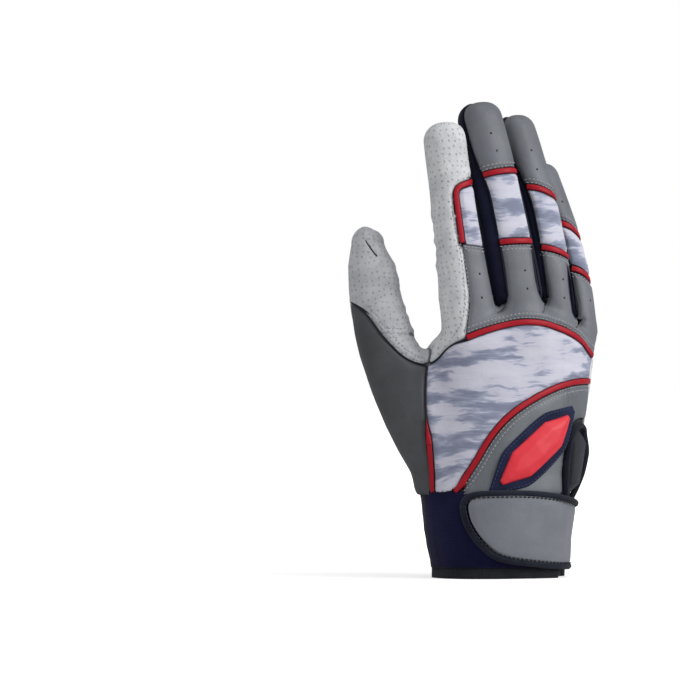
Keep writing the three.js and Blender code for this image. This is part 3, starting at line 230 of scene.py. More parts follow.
def arch_at(x, z):
    strength = np.clip(z / (PALM_HEIGHT * ARCH_HEIGHT_SHARE), WRIST_ARCH_SHARE, 1)
    return strength * (x - ARCH_OFFSET) ** 2 / (2 * ARCH_RADIUS)


def palm_distance(points):
    x, y, z = points.T
    shift, deep, width, depth = palm_section(z)
    crown = (x - CROWN_OFFSET) ** 2 / (2 * CROWN_RADIUS)
    above = np.maximum(z + crown - PALM_HEIGHT, 0)
    offsets = np.stack([x - shift, y - arch_at(x, z) - deep, above], 1)
    sizes = np.stack([width, depth, np.full_like(width, KNUCKLE_CAP)], 1)
    return section_distance(offsets, sizes, PALM_ROUNDNESS)


def soft_min(first, second, width):
    overlap = np.maximum(width - np.abs(first - second), 0) / width
    return np.minimum(first, second) - overlap * overlap * width / 4


def near_limb(points, limb):
    low = limb["rows"][:, :3].min(0) - REACH
    high = limb["rows"][:, :3].max(0) + REACH
    return ((points > low) & (points < high)).all(1)


def hand_distance(points):
    """How far points lie outside the hand form, in millimetres; less than 0 inside it."""
    distance = np.full(len(points), FAR)
    thumb = np.full(len(points), FAR)
    for name, limb in FORM.items():
        close = near_limb(points, limb)
        found = limb_distance(points[close], limb)
        if name == "thumb":
            thumb[close] = found
        else:
            distance[close] = soft_min(distance[close], found, FINGER_BLEND)
    distance = soft_min(distance, palm_distance(points), PALM_BLEND)
    return soft_min(distance, thumb, THUMB_BLEND)


# How many steps rays take, and their length in millimetres
OUTWARD_STEPS = 90, 0.8
CAMERA_STEPS = 320, 0.4
CAMERA_START = 80
HALVINGS = 8
SLOPE_STEP = 0.25
SLOPE_WAYS = np.array([(1, 1, 1), (1, -1, -1), (-1, 1, -1), (-1, -1, 1)]) / math.sqrt(3)


def slope_at(points):
    values = [hand_distance(points + way * SLOPE_STEP) for way in SLOPE_WAYS]
    slope = sum(v[:, None] * way for v, way in zip(values, SLOPE_WAYS)) * 3 / (4 * SLOPE_STEP)
    return slope, sum(values) / 4


def settle(points, lift=0.0, rounds=3):
    """Moves points onto the form's skin, or to a height above it."""
    for _ in range(rounds):
        slope, distance = slope_at(points)
        strength = np.maximum((slope ** 2).sum(1), FLATTEST)
        points = points - slope * ((distance - lift) / strength)[:, None]
    return points


def outward(points, level=False):
    """The form's outward normals at points, kept level on the cuff."""
    slope = slope_at(points)[0]
    if level:
        slope[:, 2] = 0
    return unit(slope)


def limb_point(name, along, angle):
    """Points of a limb by share of its length, past 1 on its rounded tip, and by degrees from its back."""
    along, angle = (np.atleast_1d(np.asarray(v, float)) for v in (along, np.radians(angle)))
    limb = FORM[name]
    rows = stations_at(limb, along)
    tip = rows[:, 12:14].min(1)
    climb = np.clip((along - 1) * limb["length"] / tip, 0, TIP_CLIMB)
    spot = rows[:, :3] + rows[:, 9:12] * (tip * np.sin(climb))[:, None]
    spot = spot + rows[:, 3:6] * (rows[:, 12] * np.sin(angle) * np.cos(climb))[:, None]
    return settle(spot + rows[:, 6:9] * (rows[:, 13] * np.cos(angle) * np.cos(climb))[:, None])


def palm_point(height, angle):
    """Points of the palm or cuff by height and degrees: 0 is the back, 90 the little finger side."""
    height, turn = (np.atleast_1d(np.asarray(v, float)) for v in (height, np.radians(angle)))
    shift, deep, width, depth = palm_section(height)
    x = shift + (width - depth) * SPREAD * np.sin(turn)
    start = np.stack([x, arch_at(x, height) + deep, height], 1)
    way = np.stack([np.sin(turn), -np.cos(turn), np.zeros_like(turn)], 1)
    return first_crossing(start, way, *OUTWARD_STEPS)


def first_crossing(start, way, steps, stride, sign=1):
    """Where rays cross the form's skin for the first time, going out (sign 1) or in (sign -1)."""
    reach = np.full(len(start), float(steps * stride))
    found = np.zeros(len(start), bool)
    for k in range(steps):
        crossed = ~found & (sign * hand_distance(start + way * (k * stride)) >= 0)
        reach[crossed] = k * stride
        found |= crossed
    near, far = np.maximum(reach - stride, 0), reach
    for _ in range(HALVINGS):
        middle = (near + far) / 2
        beyond = sign * hand_distance(start + way * middle[:, None]) >= 0
        near, far = np.where(beyond, near, middle), np.where(beyond, middle, far)
    return start + way * far[:, None]


def seen_points(places):
    """Points of the skin that the camera sees at places (across, height) in its own upright plane."""
    places = np.array(places, float)
    start = RIGHT * places[:, :1] - LOOK * CAMERA_START + UPWARD * places[:, 1:]
    return first_crossing(start, np.tile(LOOK, (len(places), 1)), *CAMERA_STEPS, -1)


def limb_chart(points, name):
    """Pattern places in millimetres: round a limb, and along it and on past its ends."""
    limb = FORM[name]
    along, _ = nearest_along(points, limb)
    offsets, sizes = limb_offsets(points, limb, along)
    return np.arctan2(offsets[:, 0], offsets[:, 1]) * sizes.mean(1), along * limb["length"] + offsets[:, 2]


def palm_chart(points):
    return np.arctan2(points[:, 0] - PALM_OFFSET, -points[:, 1]) * PALM_HALF_WIDTH, points[:, 2]


# Left of this place and above it, the palm leather covers the root of the index finger
INDEX_ROOT = -19, 102


def turn_of(points, centre=0.0):
    """Degrees round the cuff from the back."""
    return np.degrees(np.arctan2(points[:, 0] - centre, -points[:, 1]))


def chart_of(points, name=None):
    """The palm leather turns round the root of the index finger, so there it takes that finger's chart."""
    u, v = palm_chart(points)
    if name == "palm and index":
        turned = (points[:, 0] < INDEX_ROOT[0]) & (points[:, 2] > INDEX_ROOT[1])
        if turned.any():
            u[turned], v[turned] = limb_chart(points[turned], "index")
    elif name:
        u, v = limb_chart(points, name)
    return u, v


def noise(points, size, seed):
    """Smooth random values from -1 to 1 with features of a size in millimetres."""
    places = points / size + seed * 17.3
    cell = np.floor(places).astype(np.int64)
    t = places - cell
    t = t * t * (3 - 2 * t)
    total = np.zeros(len(points))
    for corner in range(8):
        step = np.array([(corner >> k) & 1 for k in range(3)])
        key = ((cell + step) * (73856093, 19349663, 83492791)).sum(1) + seed * 2654435761
        key = (key ^ (key >> 13)) * 1274126177 & 0x7FFFFFFF
        value = ((key ^ (key >> 16)) & 0xFFFF) / 32767.5 - 1
        total += value * np.where(step, t, 1 - t).prod(1)
    return total


# Skins: the outer faces of a CAD sheet, made fine. Edges go out a little, corners that turn by more than so
# many degrees stay sharp, and a seam runs on over a few points that face another way
DETAIL = 3
EDGE_PUSH = 0.17
CORNER_TURN = 38
SEAM_SKIP = 4


def cad_mesh(node):
    """A CAD solid's points in the form's frame, with those that lie together made one, and its triangles."""
    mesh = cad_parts[node].data
    co = np.empty(len(mesh.vertices) * 3)
    mesh.vertices.foreach_get("co", co)
    points = co.reshape(-1, 3) / MM - FORM_SHIFT
    key = np.round(points * 1e3).astype(np.int64)
    _, first, merged = np.unique(key, axis=0, return_index=True, return_inverse=True)
    corners = np.empty(len(mesh.loops), int)
    mesh.loops.foreach_get("vertex_index", corners)
    return points[first], merged.ravel()[corners].reshape(-1, 3)


def face_normals(points, faces):
    a, b, c = (points[faces[:, k]] for k in range(3))
    return unit(np.cross(b - a, c - a))


def boundary_edges(faces):
    sides = faces.shape[1]
    edges = np.concatenate([np.stack([faces[:, k], faces[:, (k + 1) % sides]], 1) for k in range(sides)])
    _, inverse, counts = np.unique(np.sort(edges, 1), axis=0, return_inverse=True, return_counts=True)
    return edges[counts[inverse.ravel()] == 1]


def mesh_from(name, points, faces):
    mesh = bpy.data.meshes.new(name)
    mesh.vertices.add(len(points))
    mesh.vertices.foreach_set("co", (points * MM).astype(np.float32).ravel())
    mesh.loops.add(faces.size)
    mesh.loops.foreach_set("vertex_index", faces.ravel().astype(np.int32))
    mesh.polygons.add(len(faces))
    starts = np.arange(0, faces.size, faces.shape[1])
    mesh.polygons.foreach_set("loop_start", starts.astype(np.int32))
    mesh.update(calc_edges=True)
    return mesh


def refine(points, faces, simple=False):
    """Subdivides a skin. It turns smooth unless simple, and its outline keeps its sharp corners."""
    mesh = mesh_from("coarse", points, faces)
    ahead = dict(boundary_edges(faces).tolist())
    behind = {b: a for a, b in ahead.items()}
    sharp = np.zeros(len(points), np.float32)
    for vertex in ahead.keys() & behind.keys():
        into = points[vertex] - points[behind[vertex]]
        out = points[ahead[vertex]] - points[vertex]
        cosine = into @ out / max(np.linalg.norm(into) * np.linalg.norm(out), 1e-9)
        sharp[vertex] = cosine < math.cos(math.radians(CORNER_TURN))
    mesh.attributes.new("crease_vert", "FLOAT", "POINT").data.foreach_set("value", sharp)
    holder = bpy.data.objects.new("coarse", mesh)
    bpy.context.collection.objects.link(holder)
    modifier = holder.modifiers.new("fine", "SUBSURF")
    modifier.levels = DETAIL
    modifier.subdivision_type = "SIMPLE" if simple else "CATMULL_CLARK"
    evaluated = holder.evaluated_get(bpy.context.evaluated_depsgraph_get())
    fine = bpy.data.meshes.new_from_object(evaluated)
    co = np.empty(len(fine.vertices) * 3, np.float32)
    fine.vertices.foreach_get("co", co)
    corners = np.empty(len(fine.loops), np.int32)
    fine.loops.foreach_get("vertex_index", corners)
    bpy.data.objects.remove(holder)
    bpy.data.meshes.remove(mesh)
    bpy.data.meshes.remove(fine)
    return co.reshape(-1, 3).astype(float) / MM, corners.reshape(-1, 4).astype(int)


def make_tree(places):
    tree = KDTree(len(places))
    for i, place in enumerate(places):
        tree.insert(place, i)
    tree.balance()
    return tree


def nearest(places, tree):
    """For each place the nearest point of a tree, its number, and how far away it lies."""
    spots, numbers, gaps = zip(*(tree.find(place) for place in places))
    return np.array([spot[:] for spot in spots]), np.array(numbers), np.array(gaps)


def gaps_to(places, others):
    """How far each place lies from the nearest of some others, or of a tree of them."""
    tree = others if isinstance(others, KDTree) else make_tree(others)
    return np.array([tree.find(place)[2] for place in places])


class Skin:
    """A fine outer skin, with its normals, its outline and how far each point lies from the outline."""

    def __init__(self, node, level=False, on_form=True, simple=False):
        points, faces = cad_mesh(node)
        facing = (face_normals(points, faces) * outward(points[faces].mean(1), level)).sum(1)
        used, faces = np.unique(faces[facing > 0.5], return_inverse=True)
        points, self.faces = refine(points[used], faces.reshape(-1, 3), simple)
        slope, distance = slope_at(points)
        if on_form:
            points = points - slope * (distance / np.maximum((slope ** 2).sum(1), FLATTEST))[:, None]
        if level:
            slope[:, 2] = 0
        self.normals = unit(slope)
        self.edges = boundary_edges(self.faces)
        sides = np.zeros_like(points)
        for end in (0, 1):
            run = unit(points[self.edges[:, 1]] - points[self.edges[:, 0]])
            np.add.at(sides, self.edges[:, end], np.cross(run, self.normals[self.edges[:, end]]))
        self.rim = np.unique(self.edges)
        self.push = unit(sides)
        self.base = points
        self.rest = points + self.push * (EDGE_PUSH if on_form else 0)
        # Outline points where the sheet goes on in the next one, and each point's height above the form
        self.crease = np.zeros(len(points), bool)
        self.lift = np.zeros(len(points))

    def loop(self):
        """The outline's points in order, with the skin on their left as seen from outside."""
        ahead = dict(self.edges.tolist())
        order = [int(self.edges[0, 0])]
        while ahead[order[-1]] != order[0] and len(order) < len(ahead):
            order.append(ahead[order[-1]])
        return np.array(order)

    def seam(self, toward, inset, least=0.5):
        """The longest part of the outline that faces a direction, moved in by a distance."""
        order = self.loop()
        facing = self.push[order] @ unit(np.array(toward, float)) > least
        if not facing.all():
            start = int(np.argmin(facing))
            order, facing = np.roll(order, -start), np.roll(facing, -start)
        runs = runs_of(facing)
        joined = runs[:1]
        for a, b in runs[1:]:
            if a - joined[-1][1] <= SEAM_SKIP:
                joined[-1] = (joined[-1][0], b)
            else:
                joined.append((a, b))
        a, b = longest(joined)
        chosen = order[a:b]
        return self.base[chosen] - self.push[chosen] * inset

    def points(self):
        return self.rest + self.normals * self.lift[:, None]


def resample(path, pitch):
    """A path with points at even steps."""
    along = lengths(path)
    count = max(2, int(round(along[-1] / pitch)) + 1)
    return places_at(np.linspace(0, along[-1], count), along, path)


def colour(value):
    """A shade as read off the photograph, in the numbers that light is reckoned with."""
    parts = [int(value[k:k + 2], 16) / 255 for k in (1, 3, 5)]
    return tuple(p / 12.92 if p <= 0.04045 else ((p + 0.055) / 1.055) ** 2.4 for p in parts) + (1.0,)


def add_node(tree, kind, inputs, output=0, stops=(), **settings):
    """Adds a node with its settings, links, values and a ramp's stops, and gives one of its outputs."""
    node = tree.nodes.new(kind)
    for key, value in settings.items():
        setattr(node, key, value)
    for key, value in inputs.items():
        if isinstance(value, bpy.types.NodeSocket):
            tree.links.new(value, node.inputs[key])
        else:
            node.inputs[key].default_value = colour(value) if isinstance(value, str) else value
    while stops and len(node.color_ramp.elements) < len(stops):
        node.color_ramp.elements.new(0.5)
    for k, (position, shade) in enumerate(stops):
        element = node.color_ramp.elements[k]
        element.position = position
        element.color = colour(shade) if isinstance(shade, str) else (shade, shade, shade, 1)
    return node.outputs[output]


# Input 0 is the share of the second tone, and inputs 6 and 7 are the tones. The darker kind multiplies them
MIXED = dict(output=2, data_type="RGBA")
DARKENED = dict(MIXED, blend_type="MULTIPLY")


class Finish:
    """A material built up node by node. Pattern places are in millimetres."""

    def __init__(self, name, roughness, **inputs):
        self.material = bpy.data.materials.new(name)
        self.material.use_nodes = True
        self.tree = self.material.node_tree
        self.shader = self.tree.nodes["Principled BSDF"]
        self.shader.inputs["Roughness"].default_value = roughness
        for key, value in inputs.items():
            self.shader.inputs[key.replace("_", " ")].default_value = value
        self.links = self.tree.links
        self.heights = []
        # Each point's place on the form, its place on the flat cloth, and how far it lies from a seam
        self.rest, self.chart, self.rim = (
            self.add("ShaderNodeAttribute", {}, output, attribute_name=key)
            for key, output in (("rest", "Vector"), ("chart", "Vector"), ("rim", "Fac"))
        )

    def add(self, kind, inputs, output=0, **settings):
        return add_node(self.tree, kind, inputs, output, **settings)

    def clouds(self, size, detail=3.0, roughness=0.55, vector=None):
        vector = self.rest if vector is None else vector
        inputs = {"Vector": vector, "Scale": 1 / size, "Detail": detail, "Roughness": roughness}
        return self.add("ShaderNodeTexNoise", inputs, "Fac")

    def streaks(self, vector, stretch, *settings):
        """Clouds drawn out sideways."""
        inputs = {"Vector": vector, "Scale": (stretch, stretch, 1.0)}
        return self.clouds(*settings, vector=self.add("ShaderNodeMapping", inputs))

    def mottle(self, *settings, low=0.35, high=0.65, least=0.0):
        """Clouds spread to go from a least share up to 1."""
        return self.add("ShaderNodeValToRGB", {0: self.clouds(*settings)}, stops=((low, least), (high, 1.0)))

    def grain(self, size):
        """Pebbles of a size, parted by fine furrows."""
        inputs = {"Vector": self.rest, "Scale": 1 / size}
        return self.add("ShaderNodeTexVoronoi", inputs, "Distance", feature="DISTANCE_TO_EDGE")

    def weave(self, across, along):
        """Two sets of waves, round the limb or palm and along it."""
        place = self.add("ShaderNodeSeparateXYZ", {0: self.chart}).node.outputs
        return self.wave(place[0], across), self.wave(place[1], along)

    def wave(self, value, pitch):
        """0 to 1 and back once every pitch."""
        turn = self.add("ShaderNodeMath", {0: value, 1: 2 * math.pi / pitch}, operation="MULTIPLY")
        swing = self.add("ShaderNodeMath", {0: turn}, operation="SINE")
        return self.add("ShaderNodeMath", {0: swing, 1: 0.5, 2: 0.5}, operation="MULTIPLY_ADD")

    def pits(self, pitch, radius):
        """1 inside small pressed marks, a little out of line with each other, and 0 outside."""
        inputs = {"Vector": self.chart, "Scale": 1 / pitch, "Randomness": 0.5}
        gap = self.add("ShaderNodeTexVoronoi", inputs, "Distance", voronoi_dimensions="2D")
        return self.falling(gap, radius * 0.5 / pitch, radius * 1.5 / pitch)

    def falling(self, value, low, high):
        """1 up to a low value, falling softly to 0 at a high one."""
        inputs = {"Value": value, "From Min": low, "From Max": high, "To Min": 1.0, "To Max": 0.0}
        return self.add("ShaderNodeMapRange", inputs, interpolation_type="SMOOTHSTEP")

    def shaded_at_seams(self, tone, width, edge):
        """A tone that turns to another at the seams: a darker one, as painted shade where the seams roll in.
        """
        return self.add("ShaderNodeMix", {0: self.falling(self.rim, 0.0, width), 6: tone, 7: edge}, **MIXED)

    def relief(self, height, depth):
        """Adds a bump, with its full height in millimetres."""
        self.heights.append((height, depth))

    def done(self, base):
        if isinstance(base, str):
            self.shader.inputs["Base Color"].default_value = colour(base)
        else:
            self.links.new(base, self.shader.inputs["Base Color"])
        below = {}
        for height, depth in self.heights:
            inputs = {"Height": height, "Distance": depth * MM, "Strength": 1.0, **below}
            below = {"Normal": self.add("ShaderNodeBump", inputs)}
        self.links.new(below["Normal"], self.shader.inputs["Normal"])
        return self.material


SHINE = 0.45


def coated_leather(name, dark, light, edge, roughness, slots=False):
    # Embossed polyurethane leather: a satin skin with a fine pebble, clouded tone and a rolled edge painted
    # darker, as painted shade
    f = Finish(name, roughness, Specular_IOR_Level=SHINE)
    tone = f.add("ShaderNodeMix", {0: f.mottle(16.0, low=0.3, high=0.7), 6: dark, 7: light}, **MIXED)
    tone = f.add("ShaderNodeMix", {0: 1.0, 6: tone, 7: f.mottle(0.5, 2.0, least=0.93)}, **DARKENED)
    f.relief(f.grain(0.55), 0.05)
    f.relief(f.clouds(2.6), 0.12)
    tone = f.shaded_at_seams(tone, 0.6, edge)
    if slots:
        # Below a rim of 0 the slots between the fingers show the matt navy cloth under the leather, painted
        # darker than the cloth itself as painted shade of the deep slot
        leather = f.add("ShaderNodeMapRange", {"Value": f.rim, "From Min": -0.35, "From Max": -0.1})
        cloth = f.add("ShaderNodeMix", {0: f.clouds(3.0), 6: "#0a0c18", 7: "#10132a"}, **MIXED)
        tone = f.add("ShaderNodeMix", {0: leather, 6: cloth, 7: tone}, **MIXED)
        gloss = f.add("ShaderNodeMath", {0: leather, 1: SHINE}, operation="MULTIPLY")
        f.links.new(gloss, f.shader.inputs["Specular IOR Level"])
    return f.done(tone)


def white_leather(name, dark, light):
    # Tumbled sheepskin: soft white with a grey bloom, fine creases and rows of pressed pits, with painted
    # shade in the pits and at the seams
    f = Finish(name, 0.72, Specular_IOR_Level=0.3)
    tone = f.add("ShaderNodeMix", {0: f.mottle(9.0, 4.0, low=0.3, high=0.7), 6: dark, 7: light}, **MIXED)
    f.relief(f.grain(0.8), 0.06)
    f.relief(f.clouds(1.9, 4.0, 0.65), 0.3)
    bloom = f.mottle(0.6, 3.0, 0.7, high=0.62, least=0.86)
    tone = f.add("ShaderNodeMix", {0: 1.0, 6: tone, 7: bloom}, **DARKENED)
    # The pits are painted grey as painted shade in them, more strongly in some clouds than in others
    mask = f.pits(3.2, 0.5)
    pit_shade_share = f.add("ShaderNodeValToRGB", {0: f.clouds(7.0, 2.0)}, stops=((0.35, 0.12), (0.65, 0.45)))
    strength = f.add("ShaderNodeMath", {0: mask, 1: pit_shade_share}, operation="MULTIPLY")
    tone = f.add("ShaderNodeMix", {0: strength, 6: tone, 7: "#5d5e66"}, **MIXED)
    f.relief(f.add("ShaderNodeMath", {0: 1.0, 1: mask}, operation="SUBTRACT"), 0.25)
    # The seams are painted darker, as painted shade
    return f.done(f.shaded_at_seams(tone, 0.7, "#7b7c85"))


PRINT_TONES = (
    (0.40, "#888da4"), (0.45, "#999eb4"), (0.484, "#abb0c5"), (0.5, "#c3c5d7"), (0.525, "#d2d1e0"),
    (0.66, "#dbdae7"),
)


def printed_stretch(name):
    # Sublimation-printed warp knit: brush-like blue-grey strokes across pale lilac, over fine wales
    f = Finish(name, 0.82, Specular_IOR_Level=0.2, Sheen_Weight=0.15)
    drift = f.add("ShaderNodeTexNoise", {"Vector": f.rest, "Scale": 1 / 20.0, "Detail": 2.0}, "Color")
    pull = f.add("ShaderNodeVectorMath", {0: drift, "Scale": 7.0}, operation="SCALE")
    warped = f.add("ShaderNodeVectorMath", {0: f.rest, 1: pull}, operation="ADD")
    patch, stroke = f.streaks(warped, 0.3, 6.8, 3.0, 0.5), f.streaks(warped, 0.08, 0.9, 3.0, 0.65)
    patch = f.add("ShaderNodeMath", {0: patch, 1: 0.78}, operation="MULTIPLY")
    stroke = f.add("ShaderNodeMath", {0: stroke, 1: 0.22}, operation="MULTIPLY")
    value = f.add("ShaderNodeMath", {0: patch, 1: stroke}, operation="ADD")
    tone = f.add("ShaderNodeValToRGB", {0: value}, stops=PRINT_TONES)
    loops, rows = f.weave(0.62, 0.5)
    f.relief(f.add("ShaderNodeMath", {0: loops, 1: rows}, operation="MULTIPLY"), 0.07)
    f.relief(f.clouds(5.0, 2.0), 0.25)
    # The seams are painted darker, as painted shade
    return f.done(f.shaded_at_seams(tone, 0.5, "#5a5c76"))


def knit(name, base, shade, pitch, across, relief, edge=None):
    # Knitted cloth: rows of small loops, with a slightly clouded dye, painted shade in the hollows between
    # the loops, and painted shade at the seams where an edge tone is given
    f = Finish(name, 0.9, Specular_IOR_Level=0.12, Sheen_Weight=0.1)
    loops, rows = f.weave(across, pitch)
    loops = f.add("ShaderNodeMath", {0: loops, 1: 0.5, 2: 0.5}, operation="MULTIPLY_ADD")
    value = f.add("ShaderNodeMath", {0: rows, 1: loops}, operation="MULTIPLY")
    f.relief(value, relief)
    tone = f.add("ShaderNodeMix", {0: f.mottle(11.0), 6: base, 7: shade}, **MIXED)
    # The hollows between the loops are painted darker, as painted shade
    hollow = f.add("ShaderNodeMath", {0: value, 1: -0.35, 2: 0.35}, operation="MULTIPLY_ADD")
    tone = f.add("ShaderNodeMix", {0: hollow, 6: tone, 7: "#0b0c14"}, **MIXED)
    return f.done(f.shaded_at_seams(tone, 0.9, edge) if edge else tone)


def welded_film(name):
    # Heat-pressed piping film: clear red with a soft shine, painted darker at its edges as painted shade
    f = Finish(name, 0.5, Specular_IOR_Level=0.25)
    f.relief(f.clouds(1.2, 2.0), 0.05)
    tone = f.add("ShaderNodeMix", {0: f.clouds(5.0, 2.0), 6: "#9c081c", 7: "#b90f25"}, **MIXED)
    return f.done(f.shaded_at_seams(tone, 0.35, "#4a0c16"))


def moulded_rubber(name):
    # Injection-moulded soft rubber: even coral with a satin face and a faint flow mottle
    f = Finish(name, 0.45, Specular_IOR_Level=0.35)
    f.relief(f.clouds(0.6, 2.0), 0.02)
    return f.done(f.add("ShaderNodeMix", {0: f.clouds(8.0, 2.0), 6: "#e02c3a", 7: "#ee3c48"}, **MIXED))


def thread(name, base, dark):
    # Twisted polyester thread: its plies stand up as fine slanted bars, painted lighter on top and darker
    # between them as painted light and shade
    f = Finish(name, 0.55, Specular_IOR_Level=0.4)
    ply = f.clouds(0.35, 1.0)
    f.relief(ply, 0.06)
    return f.done(f.add("ShaderNodeMix", {0: ply, 6: dark, 7: base}, **MIXED))


MATERIALS = {
    # A coated leather's third tone and a knit's last tone are painted shade at its seams
    "grey": coated_leather("grey_coated_leather", "#666970", "#75787f", "#45474f", 0.5),
    "slotted": coated_leather("knuckle_coated_leather", "#6c6f76", "#7b7e85", "#30323a", 0.5, slots=True),
    "lower_grey": coated_leather("lower_grey_coated_leather", "#62676c", "#72777d", "#34363d", 0.48),
    "dark": coated_leather("dark_coated_leather", "#45464a", "#535458", "#1b1c20", 0.55),
    "strap": coated_leather("strap_coated_leather", "#74777f", "#80838b", "#3c3e46", 0.5),
    # One white leather in two copies: lighter on the palm and fingers as painted light, darker on the thumb
    # side as painted shade
    "pitted": white_leather("pitted_white_leather_painted_light", "#d2d3d7", "#e9eaec"),
    "thumb": white_leather("thumb_white_leather_painted_shade", "#bcbdc2", "#d4d5d9"),
    "print": printed_stretch("printed_stretch_knit"),
    "elastic": knit("ribbed_elastic", "#13133a", "#1a1a46", 0.95, 0.7, 0.14, "#0a0a14"),
    "navy": knit("navy_stretch_knit", "#10132a", "#191d36", 0.7, 0.62, 0.07, "#080910"),
    "binding": knit("woven_binding", "#1d212c", "#282d3a", 0.6, 0.9, 0.08),
    "tape": knit("black_webbing", "#292b30", "#36383e", 0.8, 0.8, 0.12),
    "piping": welded_film("red_welded_film"),
    "rubber": moulded_rubber("coral_moulded_rubber"),
    "lining": knit("brushed_lining", "#33343a", "#3f4047", 0.8, 0.8, 0.08),
    "backing": knit("badge_backing", "#1f2440", "#2a3050", 0.6, 0.6, 0.08),
    # The navy cord's material also makes the dark beads of painted shade between the fingers
    "cord": thread("navy_cord", "#1b1e2e", "#0d0f18"),
    "navy_thread": thread("navy_blue_thread", "#3c4a78", "#222c50"),
    "light_thread": thread("light_thread", "#c3c4ca", "#8b8d94"),
    "dark_thread": thread("dark_thread", "#23262f", "#101218"),
    # The eyelets are near black, as painted shade inside the punched holes
    "eyelet": coated_leather("punched_eyelet_hole_shade", "#0b0c0f", "#15161a", "#0b0c0f", 0.7),
}

# The slots that a reuse may recolour, by material
SLOT_OF = {
    "grey": "grey_leather", "slotted": "grey_leather", "lower_grey": "grey_leather", "strap": "grey_leather",
    "dark": "dark_leather", "lining": "dark_leather", "pitted": "white_leather", "thumb": "white_leather",
    "print": "stretch_cloth", "navy": "navy_cloth", "elastic": "navy_cloth", "tape": "black_webbing",
    "backing": "navy_binding", "binding": "navy_binding", "rubber": "coral_rubber", "piping": "red_piping",
}

# Blend zones: shares of a limb's length between which its two bodies part
ZONES = {
    ("index", "base"): (0.215, 0.42), ("index", "middle"): (0.62, 0.77),
    ("middle", "base"): (0.21, 0.41), ("middle", "middle"): (0.61, 0.75),
    ("ring", "base"): (0.215, 0.38), ("ring", "middle"): (0.565, 0.70),
    ("little", "base"): (0.195, 0.34), ("little", "middle"): (0.565, 0.70),
    ("thumb", "middle"): (0.88, 0.97),
}


def carry(obj, way):
    """Puts a piece on a body's empty when its way is a body's name; for a limb's name and one of its joints
    it only bakes the piece's transform.
    """
    if isinstance(way, str):
        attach(obj, way)
    else:
        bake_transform(obj)


# How far pieces without a seam count as lying from one
NO_RIM = 99.0


def piece(name, points, faces, material, way, nodes=(), rest=None, rim=None, chart=None):
    """A finished mesh with its pattern places, carried on its way."""
    mesh = mesh_from(name, points + FORM_SHIFT, faces)
    rest = points if rest is None else rest
    flat = np.zeros((len(points), 3))
    flat[:, :2] = np.stack(palm_chart(rest) if chart is None else chart, 1)
    rim = np.full(len(points), NO_RIM) if rim is None else rim
    vector, number = ("FLOAT_VECTOR", "vector"), ("FLOAT", "value")
    for key, (kind, field), values in (("rest", vector, rest), ("chart", vector, flat), ("rim", number, rim)):
        data = mesh.attributes.new(key, kind, "POINT").data
        data.foreach_set(field, values.astype(np.float32).ravel())
    mesh.polygons.foreach_set("use_smooth", np.ones(len(mesh.polygons), bool))
    mesh.materials.append(MATERIALS[material])
    obj = bpy.data.objects.new(name, mesh)
    bpy.context.collection.objects.link(obj)
    carry(obj, way)
    if nodes:
        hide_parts(*nodes)


def skirted(points, faces, normals, depth, edges, below):
    """A face with walls, and an underside if all its points lie below as well, with each point's source."""
    count = len(points)
    order = np.full(count, -1)
    order[below] = np.arange(len(below)) + count
    parts = [faces]
    if len(below) == count:
        parts.append(faces[:, ::-1] + count)
    near, far = edges.T
    parts.append(np.stack([far, near, order[near], order[far]], 1))
    under = points[below] - normals[below] * depth
    return np.concatenate([points, under]), np.concatenate(parts), np.concatenate([np.arange(count), below])


SHEETS = {}


def sheet(node, material, way="root", depth=1.1, closed=False, chart=None, **kind):
    skin = Skin(node, **kind)
    SHEETS[node] = dict(skin=skin, material=material, way=way, depth=depth, closed=closed, chart=chart)


def skin_of(node):
    return SHEETS[node]["skin"]


sheet("knuckle_panel", "slotted")
sheet("back_stretch_panel", "print")
sheet("lower_back_panel", "lower_grey")
sheet("thumb_side_panel", "dark")
sheet("crotch_leather", "thumb", chart="thumb")
sheet("thenar_leather", "thumb", chart="thumb")
sheet("palm_leather", "pitted", chart="palm and index")
FINGER_SHEETS = [
    ("tab", "slotted", "base"), ("insert", "print", "middle"), ("leather", "pitted", "base"),
    ("tip_leather", "pitted", "middle"), ("tip_panel", "grey", "middle"),
]
for finger in FINGERS:
    for part, material, joint in FINGER_SHEETS:
        if (finger, part) != ("index", "tip_panel"):
            sheet(f"{finger}_{part}", material, (finger, joint), chart=finger)
sheet("thumb_leather", "thumb", ("thumb", "base"), chart="thumb")
sheet("thumb_tip_leather", "thumb", ("thumb", "middle"), chart="thumb")
for pair in ("index_middle", "middle_ring", "ring_little"):
    sheet(f"side_cloth_{pair}", "navy", None)
sheet("cuff_rim", "tape", depth=2.6, closed=True, level=True)
sheet("cuff_elastic", "elastic", depth=1.8, closed=True, level=True)
sheet("cuff_palm_panel", "tape", depth=1.8, closed=True, level=True)
sheet("slit_gusset", "lining", level=True, on_form=False)
sheet("strap_anchor", "strap", level=True, on_form=False)
sheet("loop_tape", "tape", closed=True, level=True, on_form=False)
sheet("hook_tape", "tape", "strap", closed=True, level=True, on_form=False)
sheet("badge_base", "backing", on_form=False)
sheet("badge_face", "rubber", depth=1.2, on_form=False, simple=True)
for name in ("knuckle_piping", "diagonal_piping", "side_piping"):
    sheet(name, "piping", on_form=False)
for finger in FINGERS[1:]:
    sheet(f"{finger}_lower_piping", "piping", f"{finger}_proximal", on_form=False)
    sheet(f"{finger}_upper_piping", "piping", (finger, "middle"), on_form=False)
sheet("index_piping", "piping", ("index", "middle"), on_form=False)
sheet("slit_binding", "binding", depth=1.4, on_form=False)

# Sheets that are one on the real glove, cut only where a joint turns: the second slips under the first
CREASES = [("knuckle_panel", f"{finger}_tab") for finger in FINGERS]
CREASES += [("palm_leather", f"{finger}_leather") for finger in FINGERS]
CREASES += [(f"{limb}_leather", f"{limb}_tip_leather") for limb in (*FINGERS, "thumb")]
CREASES += [(first, "thumb_leather") for first in ("thenar_leather", "crotch_leather")]
